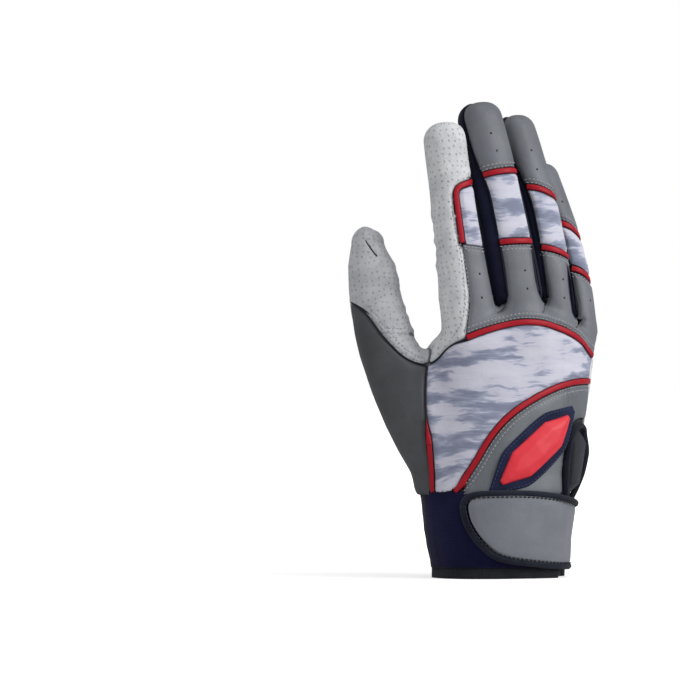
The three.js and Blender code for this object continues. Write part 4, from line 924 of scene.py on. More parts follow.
# The edges that meet lie this close, or for some sheets this close where they face each other
CREASE_GAP = 1.0
CREASE_REACH = {"crotch_leather": 2.8, "thenar_leather": 2.0}
FACED = 0.6
UNDERLAP = 0.5
SINK = 0.05
for first, second in CREASES:
    one, two = skin_of(first), skin_of(second)
    for mine, its, sink in ((one, two, 0), (two, one, SINK)):
        tree = make_tree(its.base[its.rim])
        other, _, gaps = nearest(mine.base[mine.rim], tree)
        faced = (unit(other - mine.base[mine.rim]) * mine.push[mine.rim]).sum(1)
        near = (gaps < CREASE_GAP) | ((gaps < CREASE_REACH.get(first, CREASE_GAP)) & (faced > FACED))
        meets, gaps = mine.rim[near], gaps[near]
        fresh = ~mine.crease[meets]
        meets, gaps = meets[fresh], gaps[fresh]
        mine.crease[meets] = True
        mine.rest[meets] += mine.push[meets] * (gaps / 2 + UNDERLAP)[:, None]
        mine.lift[meets] -= sink


def extend(skin, edge, distance, reach):
    """Draws the part of a sheet near some points of its outline out by a distance, over the form."""
    share = fade(0, reach, gaps_to(skin.base, skin.base[edge]))
    skin.rest += unit(skin.push[edge].mean(0)) * (distance * share)[:, None]
    skin.rest[:, :2] = settle(skin.rest, rounds=1)[:, :2]
    return share


# The hem of the glove laps over the elastic: heights in millimetres, for panels and for piping
HEM_ZONE = 47.5, 53.0
HEM_SIDE = 20, 45
HEM_LOW = 49
HEM_DROP, PIPING_DROP = 3.2, 1.8
HEM_LEVEL, PIPING_LEVEL = 44.6, 45.2
for node in ("back_stretch_panel", "thumb_side_panel", "lower_back_panel", "side_piping", "diagonal_piping"):
    skin = skin_of(node)
    drop, level = (PIPING_DROP, PIPING_LEVEL) if "piping" in node else (HEM_DROP, HEM_LEVEL)
    share = fade(*HEM_ZONE, skin.base[:, 2])
    share = share * fade(*HEM_SIDE, skin.base[:, 0])
    skin.rest[:, 2] -= drop * share
    skin.lift += (0.4 + 0.5 * smooth(-45, -25, skin.base[:, 0])) * share
    hem = skin.rim[(skin.push[skin.rim, 2] < -0.5) & (skin.base[skin.rim, 2] < HEM_LOW)]
    skin.rest[hem, 2] += (level - skin.rest[hem, 2]) * share[hem] * fade(*HEM_SIDE, skin.base[hem, 0])

# The elastic stands away from the wrist on the thumb side, by height, and laps over the palm side of the cuff
CUFF_BULGE = [(0, 0), (7.5, 0.5), (15.9, 2.5), (24.2, 3.3), (32.6, 2.5), (41, 0.7), (48, 0)]
CUFF_LAP = 2.6, 9
RIM_FLARE = 2.6
for node in ("cuff_elastic", "cuff_palm_panel"):
    skin = skin_of(node)
    turned = turn_of(skin.base)
    share = smooth(10, 70, np.abs(turned)) * (turned < 0) * fade(125, 165, np.abs(turned))
    skin.lift += share * np.interp(skin.base[:, 2], *np.array(CUFF_BULGE).T)
    if node == "cuff_elastic":
        lap = skin.rim[(skin.push[skin.rim, 2] ** 2 < 0.5) & (skin.base[skin.rim, 0] < 0)]
        skin.lift += 0.35 * smooth(0, 0.5, extend(skin, lap, *CUFF_LAP))
skin = skin_of("cuff_rim")
skin.lift += RIM_FLARE * smooth(0.3, 0.95, skin.normals @ RIGHT)
# The lining behind the slit fills the bound opening and runs down to the rim
GUSSET_SWELL = 4.2
skin = skin_of("slit_gusset")
rightward = smooth(0.3, 0.95, skin.normals @ RIGHT)
swell = smooth(42, 48, skin.base[:, 2]) * fade(66, 76, skin.base[:, 2])
inner = smooth(4.2, 7.2, gaps_to(skin.base, skin.base[skin.rim]))
skin.lift += rightward * inner * (0.3 + GUSSET_SWELL * swell)
foot = skin.base[:, 2].min()
skin.rest[:, 2] -= (foot - 0.4) * fade(foot, foot + 12, skin.base[:, 2])

# The bound edge of the slit stands up, runs down under the strap, and bulges on the palm side
SLIT_DROP = 7
SLIT_RISE = 0.8
SLIT_BULGE = 2.4
skin = skin_of("slit_binding")
height = skin.base[:, 2]
skin.rest[:, 2] -= SLIT_DROP * fade(46, 56, height)
palmward = smooth(-2, 5, (skin.base - skin.base.mean(0)) @ LOOK)
bulge = smooth(46, 56, height) * fade(62, 74, height)
skin.lift += SLIT_RISE + SLIT_BULGE * palmward * bulge - SLIT_BULGE * palmward * fade(42, 54, height)
skin.lift += 0.7 * smooth(0, 1.4, gaps_to(skin.base, skin.base[skin.rim]))
skin_of("strap_anchor").lift -= 1.0

# Slots between the fingers, in the camera's plane: left side down, round the bottom and up the right side
SLOTS = [
    [(-7.1, 167.7), (-5.4, 158.9), (-3.6, 150.2), (-1.9, 143.2), (-0.4, 139.1), (1.3, 137.5), (2.9, 138.5),
     (3.7, 141.6), (2.9, 150.2), (1.7, 158.9), (0.0, 167.6)],
    [(16.0, 167.6), (17.0, 158.9), (18.2, 150.2), (19.9, 143.2), (21.8, 139.9), (23.5, 139.3), (24.8, 141.2),
     (24.5, 145.9), (22.2, 154.6), (20.9, 163.2), (20.1, 167.6)],
    [(34.8, 158.1), (35.2, 150.2), (36.1, 141.5), (37.3, 133.8), (39.0, 130.4), (40.5, 131.9), (40.5, 137.1),
     (38.7, 145.9), (36.8, 152.1), (35.5, 157.1)],
]
SLOT_FLOOR = 112
SLOT_DEPTH = 0.8


def closed_gap(points, outline):
    """How far places in a plane lie outside a closed outline, in millimetres; less than 0 inside it."""
    ends = np.roll(outline, -1, axis=0)
    edge = ends - outline
    offset = points[:, None] - outline[None]
    share = np.clip((offset * edge).sum(2) / (edge ** 2).sum(1), 0, 1)
    gap = np.linalg.norm(offset - share[..., None] * edge, axis=2).min(1)
    y, low, high = points[:, 1][:, None], outline[:, 1], ends[:, 1]
    crosses = (low > y) != (high > y)
    at = outline[:, 0] + (y - low) / np.where(high == low, 1, high - low) * edge[:, 0]
    inside = (crosses & (points[:, 0][:, None] < at)).sum(1) % 2 == 1
    return np.where(inside, -gap, gap)


def slot_gap(points, normals):
    """How far points of the back lie from the nearest slot, in the camera's plane; less than 0 in one."""
    seen = np.stack([points @ RIGHT, points[:, 2]], 1)
    gap = np.min([closed_gap(seen, np.array(outline)) for outline in SLOTS], axis=0)
    return np.where((normals @ LOOK < 0.6) & (points[:, 2] > SLOT_FLOOR), gap, FAR)


# Relief of the sheets: seams roll in, leather bunches beside them, and the whole hand is softly uneven
SOFTNESS = {
    "grey": 0.2, "slotted": 0.2, "lower_grey": 0.22, "dark": 0.24,
    "pitted": 0.34, "thumb": 0.34, "print": 0.26, "navy": 0.2,
}
GATHER_SPAN = 75
SEAM_ROLL = 0.6
PUCKER = 0.13


def gathers(skin, name, facing, low, high, height, pitch):
    """Waves along the side of a limb where its seam draws the leather up."""
    limb = FORM[name]
    along, _ = nearest_along(skin.base, limb)
    offsets, _ = limb_offsets(skin.base, limb, along)
    v = along * limb["length"] + offsets[:, 2]
    angle = np.degrees(np.arctan2(offsets[:, 0], offsets[:, 1]))
    turn = np.abs((angle - facing + 180) % 360 - 180)
    line = np.stack([v, turn * 0.02, v * 0], 1)
    wave = noise(line, pitch * 0.55, 11) + 0.45 * noise(line, pitch * 0.27, 13)
    side = fade(GATHER_SPAN * 0.35, GATHER_SPAN, turn)
    return height * wave * side * smooth(low - 8, low, v) * fade(high, high + 10, v)


for node, entry in SHEETS.items():
    skin, material = entry["skin"], entry["material"]
    soft = SOFTNESS.get(material, 0)
    seams = skin.rim[~skin.crease[skin.rim]]
    skin.gap = gaps_to(skin.base, skin.base[seams]) if len(seams) else np.full(len(skin.base), FAR)
    if material == "rubber":
        centre = skin.base.mean(0)
        height = hand_distance(skin.base)
        skin.rest = settle(centre + (skin.base - centre) * 0.86, height)
        skin.lift += np.interp(skin.gap, (0, 0.7, 1.1, 5.5), (-0.9, 0.1, 0.15, 1.0))
    if material == "backing":
        skin.lift += 0.25 * smooth(0, 0.9, skin.gap) - 0.3 * fade(0, 0.5, skin.gap)
    # Inside a slot the rim goes below 0, where the leather takes the slot's navy with painted shade
    if material == "slotted":
        signed = slot_gap(skin.base, skin.normals)
        skin.gap = np.where(signed < 0, signed, np.minimum(skin.gap, signed))
        skin.lift -= SLOT_DEPTH * smooth(0, 1.5, -signed)
    if not soft:
        continue
    puff = smooth(0.4, 3.0, skin.gap) * fade(3.0, 9.0, skin.gap)
    away = smooth(0, 6, skin.gap)
    skin.lift += soft * (noise(skin.base, 19, 3) + 0.5 * noise(skin.base, 8, 5)) * (0.3 + 0.7 * away)
    skin.lift += (0.35 * soft + 0.1) * puff - SEAM_ROLL * fade(0, 2.0, skin.gap)
    if SLOT_OF[material] == "white_leather":
        skin.lift += noise(skin.base, 4.2, 9) * PUCKER * fade(2, 9, skin.gap)
        if node in ("palm_leather", "index_leather", "index_tip_leather"):
            skin.lift += gathers(skin, "index", -112, -12, 62, 1.1, 11.5)
        if material == "thumb":
            skin.lift += gathers(skin, "thumb", 70, 70, 118, 1.0, 10.0)

# Cloth fills the slots between the fingers, so that no light falls through
for pair, bulge in (("index_middle", 2.4), ("middle_ring", 0.5), ("ring_little", 0.3)):
    skin = skin_of(f"side_cloth_{pair}")
    skin.lift += bulge * smooth(0.5, 4.5, skin.gap)
# The thumb's tip is pinched by a dart, and falls away on its far side
DART = limb_point("thumb", np.linspace(1.0, 0.935, 24), np.linspace(-5, 25, 24))
DART_DEPTH = 0.45
TIP_FALL = 2.0
skin = skin_of("thumb_tip_leather")
skin.lift -= DART_DEPTH * np.exp(-(gaps_to(skin.base, DART) / 0.8) ** 2)
side = (skin.base - DART[0]) @ RIGHT
skin.lift -= TIP_FALL * smooth(-1, 6, side) * smooth(0.9, 1.0, nearest_along(skin.base, FORM["thumb"])[0])
# A soft upright fold in the leather above the slit, with a hollow beside it
FOLD = seen_points([(34.9, 92.0), (35.6, 84.0), (36.4, 76.0), (36.9, 71.5)])
FOLD_HEIGHT, FOLD_HOLLOW = 0.75, 0.35
skin = skin_of("lower_back_panel")
gap = gaps_to(skin.base, resample(FOLD, 0.5))
skin.lift += FOLD_HEIGHT * np.exp(-(gap / 1.5) ** 2) - FOLD_HOLLOW * np.exp(-((gap - 3.4) / 1.6) ** 2)
# The palm leather lies flat behind the root of the little finger
FLAT_SPOT, FLAT_SIZE = np.array([61.0, 9.0, 116.0]), (12, 12, 15)
FLAT_DEPTH = 2.2
skin = skin_of("palm_leather")
skin.lift -= FLAT_DEPTH * fade(0.2, 1.0, np.linalg.norm((skin.base - FLAT_SPOT) / FLAT_SIZE, axis=1))


# Threads, eyelets and cords are gathered by body and become one piece for each
LOOSE = {}
STITCH_PITCH = 2.1
STITCH_HALF = 0.74
STITCH_RADIUS = 0.27
# Rings of a stitch: place along it, size, and how far it dips
STITCH_RINGS = [(-1, 0.3, -0.55), (-0.75, 0.85, 0.1), (0, 1, 0.35), (0.75, 0.85, 0.1), (1, 0.3, -0.55)]
STITCH_SIDES = 6


def keep(material, way, points, faces, rim=None, chart=None):
    """Notes a small part. Its rim and pattern places are worked out later where they aren't given."""
    LOOSE.setdefault((material, way), []).append((points, faces, rim, chart))


def frames_along(path, normals):
    ahead = unit(np.gradient(path, axis=0))
    side = unit(np.cross(ahead, normals))
    return ahead, side, np.cross(side, ahead)


def stitches(path, normals, material, ways, half=STITCH_HALF, radius=STITCH_RADIUS):
    """A row of short capsules along a path, each on its own body, whose ends dip into needle holes."""
    ahead, side, up = frames_along(path, normals)
    angles = np.arange(STITCH_SIDES) * 2 * math.pi / STITCH_SIDES
    shape = np.array([
        (along * half, math.cos(a) * radius * size, (math.sin(a) * size + sink) * radius)
        for along, size, sink in STITCH_RINGS for a in angles
    ])
    points = (path[:, None] + shape[None, :, 0:1] * ahead[:, None] + shape[None, :, 1:2] * side[:, None]
              + shape[None, :, 2:3] * up[:, None])
    quads = grid_quads(len(STITCH_RINGS), STITCH_SIDES, (1, 0, 3, 2))
    for way in dict.fromkeys(ways):
        mine = np.array([other == way for other in ways])
        faces = (quads[None] + (np.arange(mine.sum()) * len(shape))[:, None, None]).reshape(-1, 4)
        keep(material, way, points[mine].reshape(-1, 3), faces)


def smoothed(path, times):
    for _ in range(times):
        path = np.concatenate([path[:1], (path[:-2] + 2 * path[1:-1] + path[2:]) / 4, path[-1:]])
    return path


def on_sheet(skin, path):
    """Lays a path on the finished face of a sheet."""
    if not hasattr(skin, "face_tree"):
        skin.face_tree = make_tree(skin.points())
    _, index, _ = nearest(path, skin.face_tree)
    normals = skin.normals[index]
    places = skin.points()[index]
    return path + normals * ((places - path) * normals).sum(1)[:, None], normals


ROWS = []
ROW_STEP = 0.8
GROOVE_DEPTH, GROOVE_WIDTH = 0.22, 0.7


def sew(nodes, path, material="light_thread", trim=0.0):
    """Notes a row of stitches over one sheet or several, with its ends cut back."""
    path = smoothed(resample(path, ROW_STEP), 6)
    cut = int(trim / ROW_STEP)
    ROWS.append(([nodes] if isinstance(nodes, str) else nodes, path[cut:len(path) - cut], material))


def sew_beside(edge_node, toward, offsets, node=None, material="light_thread", least=0.5):
    """Rows outside a piping's edge that faces a direction, or inside a sheet's own edge where below 0."""
    for offset in offsets:
        path = skin_of(edge_node).seam(toward, -offset, least)
        if len(path) > 2:
            sew(node or edge_node, path, material, trim=1.0)


UP, DOWN = (0, 0, 1), (0, 0, -1)
sew_beside("knuckle_piping", UP, (1.0, 3.0), "knuckle_panel")
sew_beside("diagonal_piping", (0.6, 0, -0.8), (1.0, 3.0), "lower_back_panel", least=0.3)
sew_beside("index_tab", UP, (-1.0, -2.9), least=0.6)
for finger in FINGERS[1:]:
    sew_beside(f"{finger}_lower_piping", DOWN, (0.9, 2.7), f"{finger}_tab")
    sew_beside(f"{finger}_upper_piping", UP, (0.9, 2.7), f"{finger}_tip_panel")
sew_beside("crotch_leather", (0.2, 0, -1), (-1.3, -3.6), least=0.15)
sew_beside("cuff_rim", UP, (-0.9,), material="dark_thread", least=0.8)
for toward in (UP, DOWN):
    sew_beside("badge_base", toward, (-1.0,), material="navy_thread", least=-0.05)
for toward in (UP, DOWN, (1, 1, 0), (1, -1, 0), (0, 1, 0)):
    sew_beside("strap_anchor", toward, (-1.3,), material="dark_thread", least=0.6)
sew_beside("palm_leather", DOWN, (-1.3,), least=0.6)
sew_beside("thenar_leather", (0.9, 0, 0.3), (-1.2,), least=0.3)
# Rows beside the index insert, in the camera's plane
INDEX_ROWS = [
    [(-12.6, 198.6), (-16.5, 197.6), (-20.4, 196.2), (-23.2, 192.8), (-24.4, 188.6), (-24.2, 183.6),
     (-22.9, 176.0), (-20.9, 167.2), (-19.4, 158.5), (-18.6, 149.8), (-18.2, 141.0), (-18.6, 132.6),
     (-20.8, 126.2), (-24.5, 120.8)],
    [(-21.3, 172.0), (-19.6, 166.0), (-17.6, 158.5), (-16.4, 149.8), (-16.0, 141.0), (-16.4, 132.6),
     (-18.0, 124.2)],
]
for places in INDEX_ROWS:
    sew(("index_tip_leather", "index_leather", "palm_leather"), seen_points(places))
# Rows on both sides of the thumb's cross seam, by degrees round it and share of its length
cross_angles = np.linspace(4, 78, 40)
cross = limb_point("thumb", np.interp(cross_angles, (4, 32, 78), (0.651, 0.632, 0.615)), cross_angles)
for step in (-1.2, 1.2):
    sew(("crotch_leather", "thumb_leather"), cross + UPWARD * step)

# Threads press shallow grooves
for nodes, path, _ in ROWS:
    tree = make_tree(path)
    for node in nodes:
        skin = skin_of(node)
        close = ((skin.base > path.min(0) - 2) & (skin.base < path.max(0) + 2)).all(1)
        skin.lift[close] -= GROOVE_DEPTH * np.exp(-(gaps_to(skin.base[close], tree) / GROOVE_WIDTH) ** 2)
for nodes, path, material in ROWS:
    path = resample(path, STITCH_PITCH)
    laid = [on_sheet(skin_of(node), path) for node in nodes]
    best = np.argmin([gaps_to(path, skin_of(node).face_tree) for node in nodes], axis=0)
    places, normals = (np.array([laid[best[i]][k][i] for i in range(len(path))]) for k in (0, 1))
    stitches(places, normals, material, [SHEETS[nodes[k]]["way"] for k in best])


def bead(path, half, rise, sink, material, way, normals=None, across=9):
    """A rounded cord or flat piping along a path, with a width that may change, closed underneath."""
    normals = outward(path) if normals is None else normals
    _, side, up = frames_along(path, normals)
    half = np.broadcast_to(half, (len(path),))
    place = np.linspace(-1, 1, across)
    height = rise * (1 - np.abs(place) ** 2.6)
    shape = [(place[k], height[k]) for k in range(across)] + [(1, -sink), (-1, -sink)]
    rows = np.stack([path + side * (half * s)[:, None] + up * h for s, h in shape], 1)
    quads = grid_quads(len(path), len(shape))
    rim = np.stack([half * max(0, 1 - abs(s)) for s, _ in shape], 1).ravel()
    chart = (np.stack([half * s for s, _ in shape], 1).ravel(), np.repeat(lengths(path), len(shape)))
    keep(material, way, rows.reshape(-1, 3), quads, rim, chart)


def between(first, second, reach):
    """The line midway between two sheets' edges where they lie close."""
    one, two = skin_of(first), skin_of(second)
    order = one.loop()
    other, _, gaps = nearest(one.base[order], make_tree(two.base[two.rim]))
    near = gaps < reach
    start = int(np.argmax(~near)) if not near.all() else 0
    order, near, other = (np.roll(v, -start, axis=0) for v in (order, near, other))
    a, b = longest(runs_of(near))
    return settle((one.base[order[a:b]] + other[a:b]) / 2, rounds=1)


# A thin navy cord lies in the seam between the white leather and the panels below it
CORD = 0.2, 0.9, "cord", "root"
CORD_GAP, SIDE_GAP = 3.2, 4.6
CORD_FOOT = 71
for first, second in (("crotch_leather", "thumb_side_panel"), ("palm_leather", "back_stretch_panel")):
    bead(smoothed(resample(between(first, second, CORD_GAP), 1.5), 4), 0.36, *CORD)
path = smoothed(resample(between("thumb_side_panel", "back_stretch_panel", SIDE_GAP), 1.0), 3)
if path[0, 2] > path[-1, 2]:
    path = path[::-1]
bead(path[path[:, 2] > CORD_FOOT], 0.4, *CORD)
# The red side piping runs out in a point between two heights
POINT_FOOT, POINT_TOP = 66.5, 81
POINT_HALF = 1.75, 0.15
tip = path[(path[:, 2] > POINT_FOOT) & (path[:, 2] < POINT_TOP)]
bead(tip, np.linspace(*POINT_HALF, len(tip)), 1.0, 1.3, "piping", "root")

# Eyelets punched in the grey leather, near-black discs as painted shade inside the holes: across and height
# in the camera's plane
EYELETS = {
    "middle_tip_panel": [(-4.5, 224.2), (-1.5, 215.4)], "ring_tip_panel": [(16.4, 216.1), (19.2, 206.3)],
    "little_tip_panel": [(32.8, 190.4)], "index_tab": [(-10.6, 153.0)],
    "middle_tab": [(12.4, 154.8), (13.6, 145.6)], "ring_tab": [(32.1, 150.5), (32.7, 141.0)],
    "little_tab": [(46.8, 139.9), (46.8, 131.5)], "knuckle_panel": [(-9.6, 141.0)],
}
EYELET_RADIUS = 0.55
# Rings of an eyelet: size as a share of its radius, and height
EYELET_RINGS = [(1.25, -0.1), (1.0, 0.06), (0.8, 0.03), (0.5, 0.02), (0.05, 0.02)]
EYELET_SIDES = 12
turn = np.linspace(0, 2 * math.pi, EYELET_SIDES + 1)[:EYELET_SIDES]
for node, places in EYELETS.items():
    for place in places:
        spot, normal = on_sheet(skin_of(node), seen_points([place]))
        flat = unit(np.cross(normal, np.array([[0.3, 0.2, 1.0]])))
        other = np.cross(normal, flat)
        rings = [
            spot + flat * (np.cos(turn) * EYELET_RADIUS * size)[:, None]
            + other * (np.sin(turn) * EYELET_RADIUS * size)[:, None] + normal * rise
            for size, rise in EYELET_RINGS
        ]
        keep("eyelet", SHEETS[node]["way"], np.concatenate(rings), grid_quads(len(rings), EYELET_SIDES))

# The dart's dark line
path, normals = on_sheet(skin_of("thumb_tip_leather"), DART)
bead(path, 0.3, 0.12, 0.5, "cord", ("thumb", "middle"), normals)

# Dark beads where the leather of the back meets the cloth between the fingers, as painted shade between the
# parts: half width, rise and sink
SEAM_SHADE_BEAD = 0.38, 0.4, 0.5
SHORTEST = 8
for finger in FINGERS:
    for node in (f"{finger}_tab", f"{finger}_tip_panel", f"{finger}_insert"):
        for toward in ((1, -0.3, 0), (-1, -0.3, 0)):
            if node in SHEETS and not (finger == "index" and toward[0] < 0):
                path = skin_of(node).seam(toward, 0.1, 0.2)
                if len(path) < 2 or len(path := resample(path, 1.2)) < SHORTEST:
                    continue
                path, normals = on_sheet(skin_of(node), smoothed(path, 3)[1:-1])
                bead(path, *SEAM_SHADE_BEAD, "cord", SHEETS[node]["way"], normals, across=5)

# Navy cloth goes on up the sides of the fingertips, by share of length: its palm and back side in degrees
TIP_SIDES = {
    "middle": [(0.66, -126, -80), (0.78, -128, -77), (0.9, -129, -80), (1.0, -127, -81), (1.07, -126, -80),
               (1.13, -122, -80), (1.17, -106, -90)],
    "ring": [(0.62, -122, -84), (0.75, -126, -80), (0.9, -127, -84), (1.0, -126, -84), (1.07, -124, -84),
             (1.13, -118, -86), (1.17, -106, -92)],
}
TIP_ROWS, TIP_COLUMNS = 50, 20
for finger, table in TIP_SIDES.items():
    table = np.array(table).T
    share = np.linspace(table[0, 0], table[0, -1], TIP_ROWS)
    low, high = places_at(share, table[0], table[1:].T).T[:, :, None]
    width = np.linspace(0, 1, TIP_COLUMNS)
    angles = low * (1 - width) + high * width
    strip = limb_point(finger, np.repeat(share, TIP_COLUMNS), angles.ravel())
    normals = outward(strip)
    edge = gaps_to(strip, strip.reshape(TIP_ROWS, TIP_COLUMNS, 3)[:, [0, -1]].reshape(-1, 3))
    puffed = strip + normals * (1.0 * smooth(0, 0.9, edge) - 0.1 + 0.1 * noise(strip, 8, 31))[:, None]
    quads = grid_quads(TIP_ROWS, TIP_COLUMNS, wrap=False)
    keep("navy", (finger, "middle"), puffed, quads, edge, limb_chart(strip, finger))

# The wrist strap: a padded band that ends in a blunt point, outlined by degrees round the cuff and height
STRAP_TOP = [(-47.5, 43.4), (-38, 44.4), (-5, 44.6), (20, 43.2), (49, 39.9), (80, 37.4), (108, 36.0)]
STRAP_END = [(108, 5.0), (90, 4.6), (60, 3.9), (30, 4.5), (4.5, 6.2), (-12, 7.4), (-24.5, 9.3), (-33, 12.7),
             (-40.5, 17.3), (-47, 22.6), (-52, 28.2), (-54.8, 33.6), (-55.4, 37.6), (-53, 41.2),
             (-47.5, 43.4)]
STRAP_CENTRE = 3.0
STRAP_THICKNESS = 1.9
# Its height above the form at its point and at its sewn end, and the angles between which it comes down
STRAP_LIFT = 5.0
ANCHOR_LIFT = 2.2
STRAP_LAND = (30, 82)
BINDING_HALF = 1.6
# Its face ends under the binding and lies lower than the binding's edge
FACE_INSET = 2.6
FACE_SINK = 0.45
FACE_COLUMNS, FACE_ROWS = 96, 22
# Its row of stitches runs up to an angle, with a pitch, half length and radius of its own
SEWN_TO = 56
STRAP_PITCH, STRAP_HALF, STRAP_RADIUS = 2.4, 0.85, 0.36
# Its tapes end short of its lower edge
TAPE_INSET = 4.5
TAPE_DROP = 1.6


def strap_lift(angle):
    return STRAP_LIFT + (ANCHOR_LIFT - STRAP_LIFT) * smooth(*STRAP_LAND, angle)


def rounded(table, count):
    """A smooth line through a table of places, at equal steps."""
    table = np.array(table, float)
    for _ in range(3):
        near, far = table[:-1], table[1:]
        cut = np.stack([near * 0.75 + far * 0.25, near * 0.25 + far * 0.75], 1).reshape(-1, 2)
        table = np.concatenate([table[:1], cut, table[-1:]])
    along = lengths(table * (0.75, 1.0))
    return places_at(np.linspace(0, along[-1], count), along, table)


outline = rounded(STRAP_END + STRAP_TOP[1:], 190)
edge = palm_point(outline[:, 1], outline[:, 0])
edge_normals = outward(edge, True)
edge = edge + edge_normals * strap_lift(outline[:, 0])[:, None]
_, edge_side, _ = frames_along(edge, edge_normals)
inward = edge_side if ((edge.mean(0) - edge) * edge_side).sum() > 0 else -edge_side
middle = edge + inward * BINDING_HALF - edge_normals * 0.9
bead(middle, BINDING_HALF, 1.2, 1.0, "binding", "strap", edge_normals)
inner = edge + inward * (2 * BINDING_HALF + 0.1)
row = resample(inner[outline[:, 0] < SEWN_TO], STRAP_PITCH)
stitches(row, outward(row, True), "dark_thread", ["strap"] * len(row), STRAP_HALF, STRAP_RADIUS)


def even(line):
    """Places along a line for the columns of the strap's face, closer together near its point."""
    return places_at(np.linspace(0, 1, FACE_COLUMNS) ** 1.35, np.linspace(0, 1, len(line)), line)


# The face of the strap fills the outline, column by column
face_edge = edge + inward * FACE_INSET - edge_normals * FACE_SINK
turn_over = int(np.argmin(outline[:, 0]))
low, high = even(face_edge[:turn_over + 1][::-1]), even(face_edge[turn_over:])
t = np.linspace(0, 1, FACE_ROWS)[None, :, None]
grid = (low[:, None] * (1 - t) + high[:, None] * t).reshape(-1, 3)
base = settle(grid)
angle = turn_of(base, STRAP_CENTRE)
gap = gaps_to(grid, face_edge)
axis = np.array([STRAP_CENTRE, 0, 0]) + grid * (0, 0, 1)
flat = first_crossing(axis, unit(grid - axis), *OUTWARD_STEPS)
flat_normals = outward(flat, True)
rise = strap_lift(angle) - FACE_SINK + 0.35 * smooth(0, 3.5, gap) + 0.12 * noise(flat, 17, 21)
face = flat + flat_normals * rise[:, None]
face_quads = grid_quads(FACE_COLUMNS, FACE_ROWS, (0, 3, 2, 1), wrap=False)


def build(node, entry):
    """A sheet's piece, or one for each limb and joint where it lies between two fingers."""
    skin, material, way = entry["skin"], entry["material"], entry["way"]
    below = np.arange(len(skin.base)) if entry["closed"] else skin.rim
    edges = skin.edges[~skin.crease[skin.edges].all(1)]
    points, faces, source = skirted(skin.points(), skin.faces, skin.normals, entry["depth"], edges, below)
    rest, rim = skin.base[source], skin.gap[source]
    if way:
        chart = [values[source] for values in chart_of(skin.base, entry["chart"])]
        piece(f"soft_{node}", points, faces, material, way, [node], rest, rim, chart)
        return
    near, far = node.split("_")[2:]
    shares = {name: nearest_along(points, FORM[name]) for name in (near, far)}
    own = np.where(shares[near][1] < shares[far][1], near, far)
    for name in (near, far):
        chart = limb_chart(skin.base, name)
        part = (ZONES[name, "base"][1] + ZONES[name, "middle"][0]) / 2
        for joint in ("base", "middle"):
            inside = (own == name) & ((shares[name][0] > part) == (joint == "middle"))
            chosen = faces[inside[faces[:, 0]]]
            used, new = np.unique(chosen, return_inverse=True)
            piece(f"soft_{node}_{name}_{joint}", points[used], new.reshape(-1, 4), material, (name, joint),
                  [node], rest[used], rim[used], [values[source][used] for values in chart])


# The closure's tapes keep inside the strap's outline
for node in ("loop_tape", "hook_tape"):
    skin = skin_of(node)
    turned = turn_of(skin.base, STRAP_CENTRE)
    low_side = np.array(STRAP_END[:13])[::-1]
    skin.rest[:, 2] = np.maximum(skin.rest[:, 2], np.interp(turned, *low_side.T) + TAPE_INSET)
    skin.lift -= TAPE_DROP * smooth(25, 60, turned)

for node, entry in SHEETS.items():
    build(node, entry)
points, faces, source = skirted(
    face, face_quads, flat_normals, STRAP_THICKNESS, boundary_edges(face_quads), np.arange(len(face)))
nodes = ["strap_shell", "strap_binding"]
piece("soft_strap_shell", points, faces, "strap", "strap", nodes, flat[source], gap[source] + 1)

NAMES = {
    "light_thread": "light_stitches", "dark_thread": "dark_stitches", "navy_thread": "navy_stitches",
    "cord": "navy_cord", "piping": "piping_point", "navy": "tip_side_cloth", "binding": "strap_bound_edge",
    "eyelet": "eyelets",
}
# The solids that gathered parts stand in for, by material
STANDS_FOR = {"binding": ["strap_binding"], "piping": ["side_piping"]}
for (material, way), parts in LOOSE.items():
    counts = np.cumsum([0] + [len(part[0]) for part in parts])
    points = np.concatenate([part[0] for part in parts])
    faces = np.concatenate([part[1] + start for part, start in zip(parts, counts)])
    rim = np.concatenate([np.full(len(part[0]), NO_RIM) if part[2] is None else part[2] for part in parts])
    charts = [palm_chart(part[0]) if part[3] is None else part[3] for part in parts]
    chart = [np.concatenate([c[k] for c in charts]) for k in (0, 1)]
    label = way if isinstance(way, str) else "_".join(way)
    nodes = STANDS_FOR.get(material, [])
    piece(f"{NAMES[material]}_{label}", points, faces, material, way, nodes, points, rim, chart)

# The white sweep that the glove stands on, and plain soft studio light
FLOOR_HALF = 9
FLOOR_GLOW = 0.62
floor_mesh = bpy.data.meshes.new("floor")
corners = [(x * FLOOR_HALF, y * FLOOR_HALF, 0) for x, y in ((-1, -1), (1, -1), (1, 1), (-1, 1))]
floor_mesh.from_pydata(corners, [], [(0, 1, 2, 3)])
floor = bpy.data.objects.new("floor", floor_mesh)
bpy.context.collection.objects.link(floor)
# Matt paper: a faint fibre mottle, with a glow for the camera alone that is full white away from the glove
paper = Finish("white_paper_sweep", 0.9)
paper.relief(paper.add("ShaderNodeTexNoise", {"Scale": 900.0}, "Fac"), 0.05)
floor_mesh.materials.append(paper.done("#cfcfcf"))
position = paper.add("ShaderNodeNewGeometry", {}, "Position")
reach = paper.add("ShaderNodeVectorMath", {0: position}, "Value", operation="LENGTH")
inputs = {"Value": reach, "From Min": 0.06, "From Max": 0.5, "To Min": FLOOR_GLOW, "To Max": 1.0}
glow = paper.add("ShaderNodeMapRange", inputs, interpolation_type="SMOOTHSTEP")
seen = paper.add("ShaderNodeLightPath", {}, "Is Camera Ray")
strength = paper.add("ShaderNodeMath", {0: seen, 1: glow}, operation="MULTIPLY")
shine = paper.add("ShaderNodeEmission", {"Color": (1, 1, 1, 1), "Strength": strength})
both = paper.add("ShaderNodeAddShader", {0: paper.shader.outputs[0], 1: shine})
paper.links.new(both, paper.tree.nodes["Material Output"].inputs["Surface"])


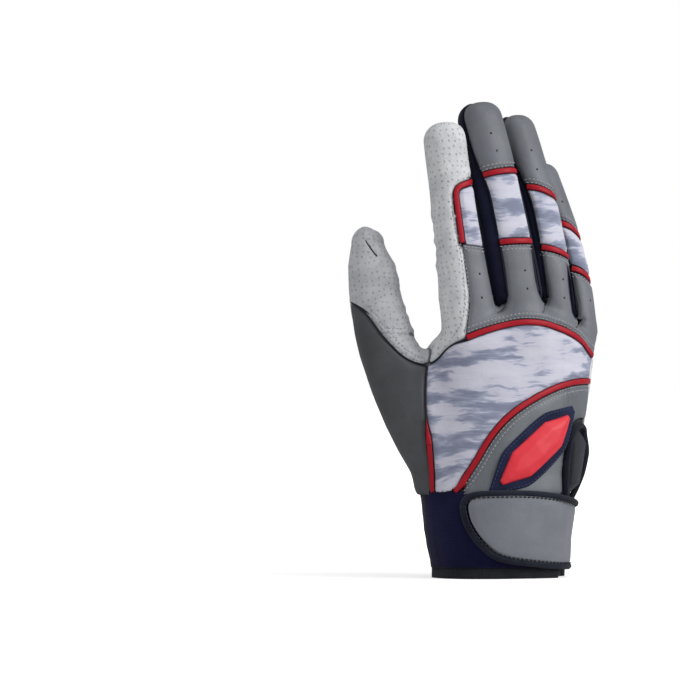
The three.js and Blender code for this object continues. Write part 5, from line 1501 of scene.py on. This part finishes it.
def lamp(name, kind, energy, place, aim, **settings):
    """A light at a place, turned to another, in metres."""
    data = bpy.data.lights.new(name, kind)
    data.energy = energy
    for key, value in settings.items():
        setattr(data, key, value)
    obj = bpy.data.objects.new(name, data)
    bpy.context.collection.objects.link(obj)
    obj.location = place
    obj.rotation_mode = "QUATERNION"
    obj.rotation_quaternion = (Vector(aim) - Vector(place)).to_track_quat("-Z", "Y")


lamp("overhead_sky", "SUN", 0.6, (0.2, -0.5, 2), (0, 0, 0), angle=math.radians(35))
SOFTBOX = dict(shape="RECTANGLE", size=0.8)
lamp("right_softbox", "AREA", 17.0, (1.15, -1.15, 0.85), (0, 0, 0.12), size_y=0.8, **SOFTBOX)
lamp("left_softbox", "AREA", 2.2, (-1.4, -0.6, 0.5), (0, 0, 0.12), size_y=1.0, **SOFTBOX)

# The camera sees pure white round the glove, while the glove is lit by a dimmer, cooler white
BACKDROP, SURROUND = 1.0, 0.4
world = bpy.data.worlds.new("studio")
bpy.context.scene.world = world
world.use_nodes = True
sky = world.node_tree
backdrop = sky.nodes["Background"]
backdrop.inputs["Color"].default_value = (1, 1, 1, 1)
backdrop.inputs["Strength"].default_value = BACKDROP
surround = add_node(sky, "ShaderNodeBackground", {"Color": (0.98, 0.99, 1, 1), "Strength": SURROUND})
rays = add_node(sky, "ShaderNodeLightPath", {}, "Is Camera Ray")
chosen = add_node(sky, "ShaderNodeMixShader", {0: rays, 1: surround, 2: backdrop.outputs[0]})
sky.links.new(chosen, sky.nodes["World Output"].inputs["Surface"])

# A long lens from 3 m away, aimed at the glove's middle, in metres
LENS, SENSOR = 314.5, 36
CAMERA_FAR = 3.0
CAMERA_ACROSS = -0.0808
CAMERA_HEIGHT = 0.1197
camera = bpy.data.objects.new("camera", bpy.data.cameras.new("camera"))
bpy.context.collection.objects.link(camera)
camera.data.sensor_width = SENSOR
camera.data.lens = LENS
camera.data.clip_end = 100
where = RIGHT * CAMERA_ACROSS + UPWARD * CAMERA_HEIGHT - LOOK * CAMERA_FAR + FORM_SHIFT * MM
camera.matrix_world = Matrix([
    *((RIGHT[k], UPWARD[k], -LOOK[k], where[k]) for k in range(3)), (0, 0, 0, 1),
])
scene = bpy.context.scene
scene.camera = camera
scene.view_settings.view_transform = "Standard"
